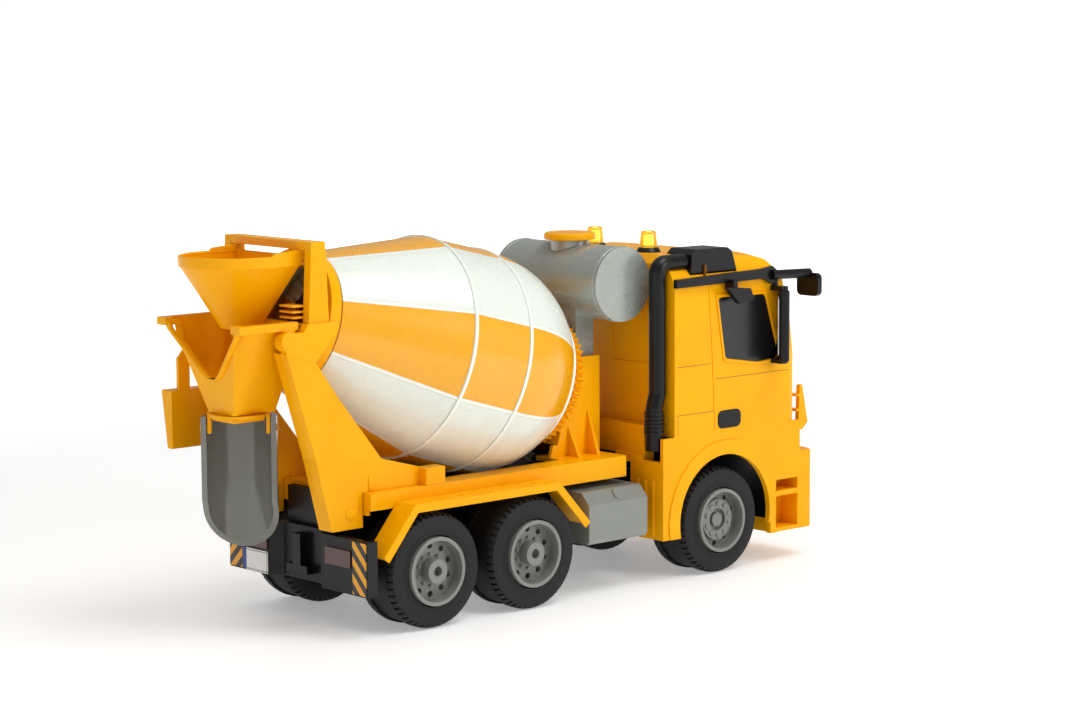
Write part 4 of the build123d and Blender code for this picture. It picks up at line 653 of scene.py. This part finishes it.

# %% [markdown]
# ## Shadow lines and creases of the cab
# The cab is moulded in several panels that meet in narrow gaps. Each gap is half a millimetre wide and the shade in
# it reads as a dark line, so that shade is painted on as a thin dark amber strip whose edges are bevelled away.

# %% Cab panel lines, drawn as painted shade
# painted shade: dark amber strips laid over the cab's panel gaps stand in for the shade inside them
gap_shade_paint = moulded("gap_shade_paint", "#A86400", "#8C5200", "#B87010", 0.6, grain=0.02)
cab_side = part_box("cab_shell")[1].y / mm
roof_slope_z = 150
side_lines = (((75.6, 99.8), (109.2, 109.6)), ((75.6, 102.2), (84.6, 85.0)), ((76.2, 76.6), (74.5, 84.8)),
              ((103.2, 157.0), (101.0, 101.4)), ((96.4, 96.8), (150.5, 160.0)))
strips = []
for side in (-1, 1):
    for x, z in side_lines:
        y = sorted((side * (cab_side - 0.3), side * (cab_side + 0.05)))
        if z[0] > roof_slope_z:
            y = sorted((side * (cab_side - 2.9), side * (cab_side - 0.4)))
        strips.append(add_cube(x, y, z))
gap_shade_strips = join(strips)
round_edges(gap_shade_strips, 0.05 * mm, segments=1)
settle(gap_shade_strips, "cab_gap_shade_strips", "truck", gap_shade_paint)
print("panel lines", len(strips))

# %% [markdown]
# ## Window surrounds
# The side glass sits in a raised lip of the door. It could be a bevelled curve, but the lip has flat faces, so a
# polygon is inset, its middle is removed, and the ring that is left is extruded outwards.

# %% Window surrounds
lip_width = 1.5 * mm
lip_rise = 0.75 * mm
window_corners = ((103.0, 144.4), (140.2, 143.8), (146.4, 126.0), (152.2, 107.4), (133.6, 105.7), (108.8, 109.8))


def add_window_lip(side):
    """Raised lip round a side window."""
    clear_selection()
    bpy.ops.mesh.primitive_circle_add(vertices=len(window_corners), radius=1.0, fill_type="NGON")
    lip = bpy.context.object
    for vertex, (x, z) in zip(lip.data.vertices, window_corners):
        vertex.co = (x * mm, side * (cab_side - 0.1) * mm, z * mm)
    pick(lip, "FACE", lambda centre, normal: True)
    bpy.ops.mesh.inset(thickness=lip_width, depth=0)
    bpy.ops.mesh.delete(type="FACE")
    bpy.ops.mesh.select_all(action="SELECT")
    bpy.ops.mesh.extrude_region_move(TRANSFORM_OT_translate={"value": (0, side * lip_rise, 0)})
    clear_selection()
    return lip


window_lips = join([add_window_lip(side) for side in (-1, 1)])
face_outwards(window_lips)
round_edges(window_lips, 0.3 * mm, segments=3)
settle(window_lips, "window_surrounds", "truck", yellow_abs)
print("window lips", len(window_lips.data.polygons), "faces")

# %% [markdown]
# ## Beads and seams
# A funnel of thin plastic is stiffened by a round bead along its rim, and the water tank shows a weld bead where
# its end caps were welded on. A bead is a ring, cut open where the rim is straight and extruded on.

# %% Hopper bead
hopper_low, hopper_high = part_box("hopper")
bead_inset = 0.95 * mm
bead_radius = hopper_high.y - bead_inset
bead_centre = Vector((hopper_low.x + hopper_high.y, 0, 177.0 * mm))
clear_selection()
bpy.ops.mesh.primitive_torus_add(major_radius=bead_radius, minor_radius=0.9 * mm, major_segments=56,
                                 minor_segments=12, location=bead_centre)
hopper_bead = bpy.context.object
bpy.ops.object.transform_apply(location=True, rotation=True, scale=True)
bpy.ops.object.mode_set(mode="EDIT")
bpy.ops.mesh.select_all(action="SELECT")
bpy.ops.mesh.bisect(plane_co=bead_centre, plane_no=(1, 0, 0), clear_outer=True)
bpy.ops.mesh.select_mode(type="EDGE")
bpy.ops.mesh.select_all(action="DESELECT")
bpy.ops.mesh.select_non_manifold()
straight = hopper_high.x - bead_centre.x - 0.5 * mm
bpy.ops.mesh.extrude_edges_move(TRANSFORM_OT_translate={"value": (straight, 0, 0)})
bpy.ops.mesh.select_all(action="DESELECT")
bpy.ops.mesh.select_non_manifold()
bpy.ops.mesh.fill_holes(sides=0)
settle(hopper_bead, "hopper_bead", "truck", yellow_abs)
print("hopper bead", [round(v / mm, 1) for v in bead_centre])

# %% [markdown]
# ## Lip of the collector
# The notch that the concrete runs through has a thick rolled lip. A small disc is extruded from point to point
# along the edge of the notch, which lies in a wall that leans back.

# %% Collector lip
lip_path = ((-26.6, 146.0), (-26.1, 142.9), (-10.0, 126.6), (-6.8, 123.4), (-3.6, 121.4),
            (3.6, 121.4), (6.8, 123.4), (10.0, 126.6), (26.1, 142.9), (26.6, 146.0))


def collector_rear(z):
    """x of the collector's leaning rear wall at a height, in millimetres."""
    return -175.4 + (147.0 - z) * 0.2264


clear_selection()
start_y, start_z = lip_path[0]
bpy.ops.mesh.primitive_circle_add(vertices=12, radius=1.6 * mm, fill_type="NGON",
                                  location=(collector_rear(start_z) * mm, start_y * mm, start_z * mm))
collector_lip = bpy.context.object
bpy.ops.object.transform_apply(location=True, rotation=True, scale=True)
bpy.ops.object.mode_set(mode="EDIT")
bpy.ops.mesh.select_all(action="SELECT")
for (y0, z0), (y1, z1) in zip(lip_path, lip_path[1:]):
    step = Vector((collector_rear(z1) - collector_rear(z0), y1 - y0, z1 - z0)) * mm
    bpy.ops.mesh.extrude_region_move(TRANSFORM_OT_translate={"value": step})
clear_selection()
print("collector lip", len(collector_lip.data.polygons), "faces")
settle(collector_lip, "collector_lip", "truck", yellow_abs, angle=60)

# %% Tank weld beads
tank_centre_z = 151.9 * mm
weld_inset = 2.4
tank_low, tank_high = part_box("water_tank")
tank_radius = (tank_high.x - tank_low.x) / 2
tank_axis = Vector(((tank_low.x + tank_high.x) / 2, 0, tank_centre_z))
beads = []
for side in (-1, 1):
    clear_selection()
    bpy.ops.mesh.primitive_torus_add(major_radius=tank_radius - 0.02 * mm, minor_radius=0.34 * mm,
                                     major_segments=96, minor_segments=8, rotation=(pi / 2, 0, 0),
                                     location=tank_axis + Vector((0, side * (tank_high.y - weld_inset * mm), 0)))
    beads.append(bpy.context.object)
    bpy.ops.object.transform_apply(location=True, rotation=True, scale=True)
for angle in (202, -22):
    reach = tank_radius / mm - 0.02
    x = tank_axis.x / mm + reach * cos(radians(angle))
    z = tank_axis.z / mm + reach * sin(radians(angle))
    beads.append(add_rod((x, 0, z), (0, 1, 0), 0.26, 2 * (tank_high.y / mm - weld_inset), sides=8))
settle(join(beads), "tank_weld_beads", "truck", tank_grey_paint)
print("tank beads", len(beads))

# %% [markdown]
# ## Small mouldings of the rear frame
# Thin shelves stiffen the frame behind the hopper, the collector hangs from hooked tabs, and a rib and a round
# plug mark each leg. They are small blocks and rods, joined and rounded together.

# %% Frame ribs, tabs and plugs
frame_bits = []
for side in (-1, 1):
    for z in (149.6, 152.2, 154.8):
        y = sorted((side * 19.0, side * 29.4))
        frame_bits.append(add_cube((-145.5, -138.0), y, (z - 0.45, z + 0.45)))
    y = sorted((side * 28.6, side * 32.6))
    frame_bits.append(add_cube((-153.2, -146.6), y, (141.4, 146.6)))
    y = sorted((side * 35.0, side * 36.1))
    frame_bits.append(add_cube((-108.0, -104.4), y, (66.4, 73.2)))
    frame_bits.append(add_rod((-118.5, side * 35.6, 56.8), (0, 1, 0), 3.0, 0.9, sides=32))
rear_details = join(frame_bits)
round_edges(rear_details, 0.25 * mm)
settle(rear_details, "rear_frame_details", "truck", yellow_abs)
print("rear details", len(frame_bits))

# %% [markdown]
# ## Leg covers
# The hollow of each leg is closed at the rear by two flat covers, one on each side of its bend. A cover is a thin
# block turned to the slope between two points of the leg.

# %% Leg covers
leg_bends = ((-129.2, 49.8), (-138.3, 84.1), (-153.7, 133.6))
covers = []
for side in (-1, 1):
    for (x0, z0), (x1, z1) in zip(leg_bends, leg_bends[1:]):
        half = sqrt((x1 - x0) ** 2 + (z1 - z0) ** 2) / 2
        x, z = (x0 + x1) / 2 + 0.35, (z0 + z1) / 2
        covers.append(add_cube((x - 0.5, x + 0.5), sorted((side * 25.7, side * 35.3)), (z - half, z + half),
                               turn=(0, atan2(x1 - x0, z1 - z0), 0)))
leg_covers = join(covers)
round_edges(leg_covers, 0.2 * mm)
settle(leg_covers, "leg_covers", "truck", yellow_abs)
print("leg covers", len(covers))

# %% [markdown]
# ## Dots on the mudguards
# Two rows of tiny raised dots border the top of each mudguard, like the rivets of a real one. Each is a low rod
# whose top is drawn in, and it has few faces because there are so many.

# %% Mudguard dots
fender_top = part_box("rear_fenders")[1].z / mm + 0.03
dots = []
for side in (-1, 1):
    for y in (52.6, 43.4):
        for number in range(31):
            dots.append(add_rod((-94.0 + 2.9 * number, side * y, fender_top), (0, 0, 1), 0.36, 0.4, sides=8))
for dot in dots:
    pick(dot, "FACE", lambda centre, normal: normal.z > 0.9)
    bpy.ops.transform.resize(value=(0.55, 0.55, 1))
clear_selection()
settle(join(dots), "mudguard_dots", "truck", fender_abs)
print("mudguard dots", len(dots))

# %% [markdown]
# ## Lamps of the beacons
# Each beacon has a small bulb inside its clear cap, which makes its bright heart. The bulb is a rod with an inset
# tip, and its plastic gives off a little light.

# %% Beacon bulbs
bulb_glow = moulded("bulb_glow", "#FFF6CC", "#FFE890", "#FFFFFF", 0.4)
set_shader(bulb_glow, {"Emission Color": linear("#FFF2B0"), "Emission Strength": 1.6})
lens_low, lens_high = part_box("beacon_lenses")
bulbs = []
for side in (-1, 1):
    beacon_y = side * (lens_high.y / mm - 4.6)
    middle = ((lens_low.x + lens_high.x) / 2 / mm, beacon_y, lens_low.z / mm + 3.2)
    bulb = add_rod(middle, (0, 0, 1), 1.7, 4.6, sides=24)
    pick(bulb, "FACE", lambda centre, normal: normal.z > 0.9)
    bpy.ops.mesh.inset(thickness=0.6 * mm, depth=0.7 * mm)
    clear_selection()
    bulbs.append(bulb)
bulb_pair = join(bulbs)
round_edges(bulb_pair, 0.3 * mm)
settle(bulb_pair, "beacon_bulbs", "truck", bulb_glow)
print("bulbs", len(bulbs))

# %% [markdown]
# ## Wipers
# Two wipers lie along the foot of the windscreen. Each is a blade and an arm, turned to the slope of the glass.

# %% Wipers
screen_lean = radians(-16.8)
wiper_parts = []
for side in (-1, 1):
    wiper_parts.append(add_cube((167.2, 168.0), (side * 17 - 14, side * 17 + 14), (104.2, 105.4),
                                turn=(radians(side * 4), screen_lean, 0)))
    wiper_parts.append(add_cube((167.5, 168.3), (side * 22 - 0.7, side * 22 + 0.7), (97.6, 105.2),
                                turn=(0, screen_lean, 0)))
wipers = join(wiper_parts)
round_edges(wipers, 0.25 * mm)
settle(wipers, "wipers", "truck", black_pp)
print("wipers", len(wiper_parts))

# %% [markdown]
# ## Floor, light and camera
# The truck stands on pale paper, as in a catalogue. A wide ceiling and two soft boxes on the near side give the
# plastic its long highlights, and a weaker box fills the rear. The paper shines faintly, and more so far from the
# truck, so that it stays white to the horizon and keeps a soft shadow under the wheels.

# %% Floor
clear_selection()
bpy.ops.mesh.primitive_plane_add(size=60, location=(0, 0, 0))
floor = bpy.context.object
floor.name = "floor"
floor_material, floor_tree, floor_shader, floor_place = new_material("studio_paper")
paper = add_node(floor_tree, "TexNoise", {"Scale": 1 / (60 * mm), "Detail": 2.0}, {"Vector": floor_place})
paper_tone = blend_colour(floor_tree, paper.outputs["Fac"], linear("#F7F7F6"), linear("#F1F1F0"))
floor_tree.links.new(paper_tone, floor_shader.inputs["Base Color"])
floor_shader.inputs["Roughness"].default_value = 0.38
floor_shader.inputs["Emission Color"].default_value = (1.0, 1.0, 1.0, 1.0)
floor_middle = add_node(floor_tree, "VectorMath", {"operation": "LENGTH"}, {0: floor_place})
floor_fade = add_node(floor_tree, "MapRange", {"From Min": 0.5, "From Max": 1.8, "To Min": 0.3, "To Max": 1.0},
                      {"Value": floor_middle.outputs["Value"]})
floor_tree.links.new(floor_fade.outputs["Result"], floor_shader.inputs["Emission Strength"])
floor.data.materials.append(floor_material)
print("floor", floor.name)

# %% Lights
scene = bpy.context.scene
scene.view_settings.view_transform = "Standard"
world = bpy.data.worlds.new("studio")
scene.world = world
world.use_nodes = True
sky = world.node_tree.nodes["Background"]
sky.inputs["Color"].default_value = (1.0, 1.0, 1.0, 1.0)
seen = add_node(world.node_tree, "LightPath")
brightness = add_node(world.node_tree, "MapRange", {"To Min": 0.34, "To Max": 1.0},
                      {"Value": seen.outputs["Is Camera Ray"]})
world.node_tree.links.new(brightness.outputs["Result"], sky.inputs["Strength"])
soft_boxes = (
    ("ceiling", (0.0, 0.0, 6.0), (0.0, 0.0, 0.0), 9.0, 150.0),
    ("top_box", (0.2, -0.6, 1.3), (0.0, 0.0, 0.1), 0.7, 7.5),
    ("side_box", (0.7, -1.5, 0.7), (0.05, 0.0, 0.09), 0.6, 7.5),
    ("rear_box", (-1.5, -0.3, 0.6), (-0.1, 0.0, 0.1), 0.8, 1.2),
)
for name, place, aim, size, power in soft_boxes:
    lamp = bpy.data.lights.new(name, "AREA")
    lamp.size = size
    lamp.energy = power
    holder = bpy.data.objects.new(name, lamp)
    scene.collection.objects.link(holder)
    holder.location = place
    holder.rotation_euler = (Vector(aim) - Vector(place)).to_track_quat("-Z", "Y").to_euler()
print("soft boxes", [box[0] for box in soft_boxes])

# %% Camera
camera = bpy.data.objects.new("camera", bpy.data.cameras.new("camera"))
scene.collection.objects.link(camera)
scene.camera = camera
camera.data.sensor_width = 36.0
camera.data.lens = 92.57
camera.data.clip_end = 50.0
camera.location = (-0.9031, -1.0346, 0.2879)
aim_point = Vector((0.032, 0.0, 0.1123))
look = (aim_point - camera.location).to_track_quat("-Z", "Y")
roll = -0.005
camera.rotation_euler = (look @ Euler((0, 0, roll)).to_quaternion()).to_euler()
print("camera", [round(v, 4) for v in camera.location], "lens", camera.data.lens)
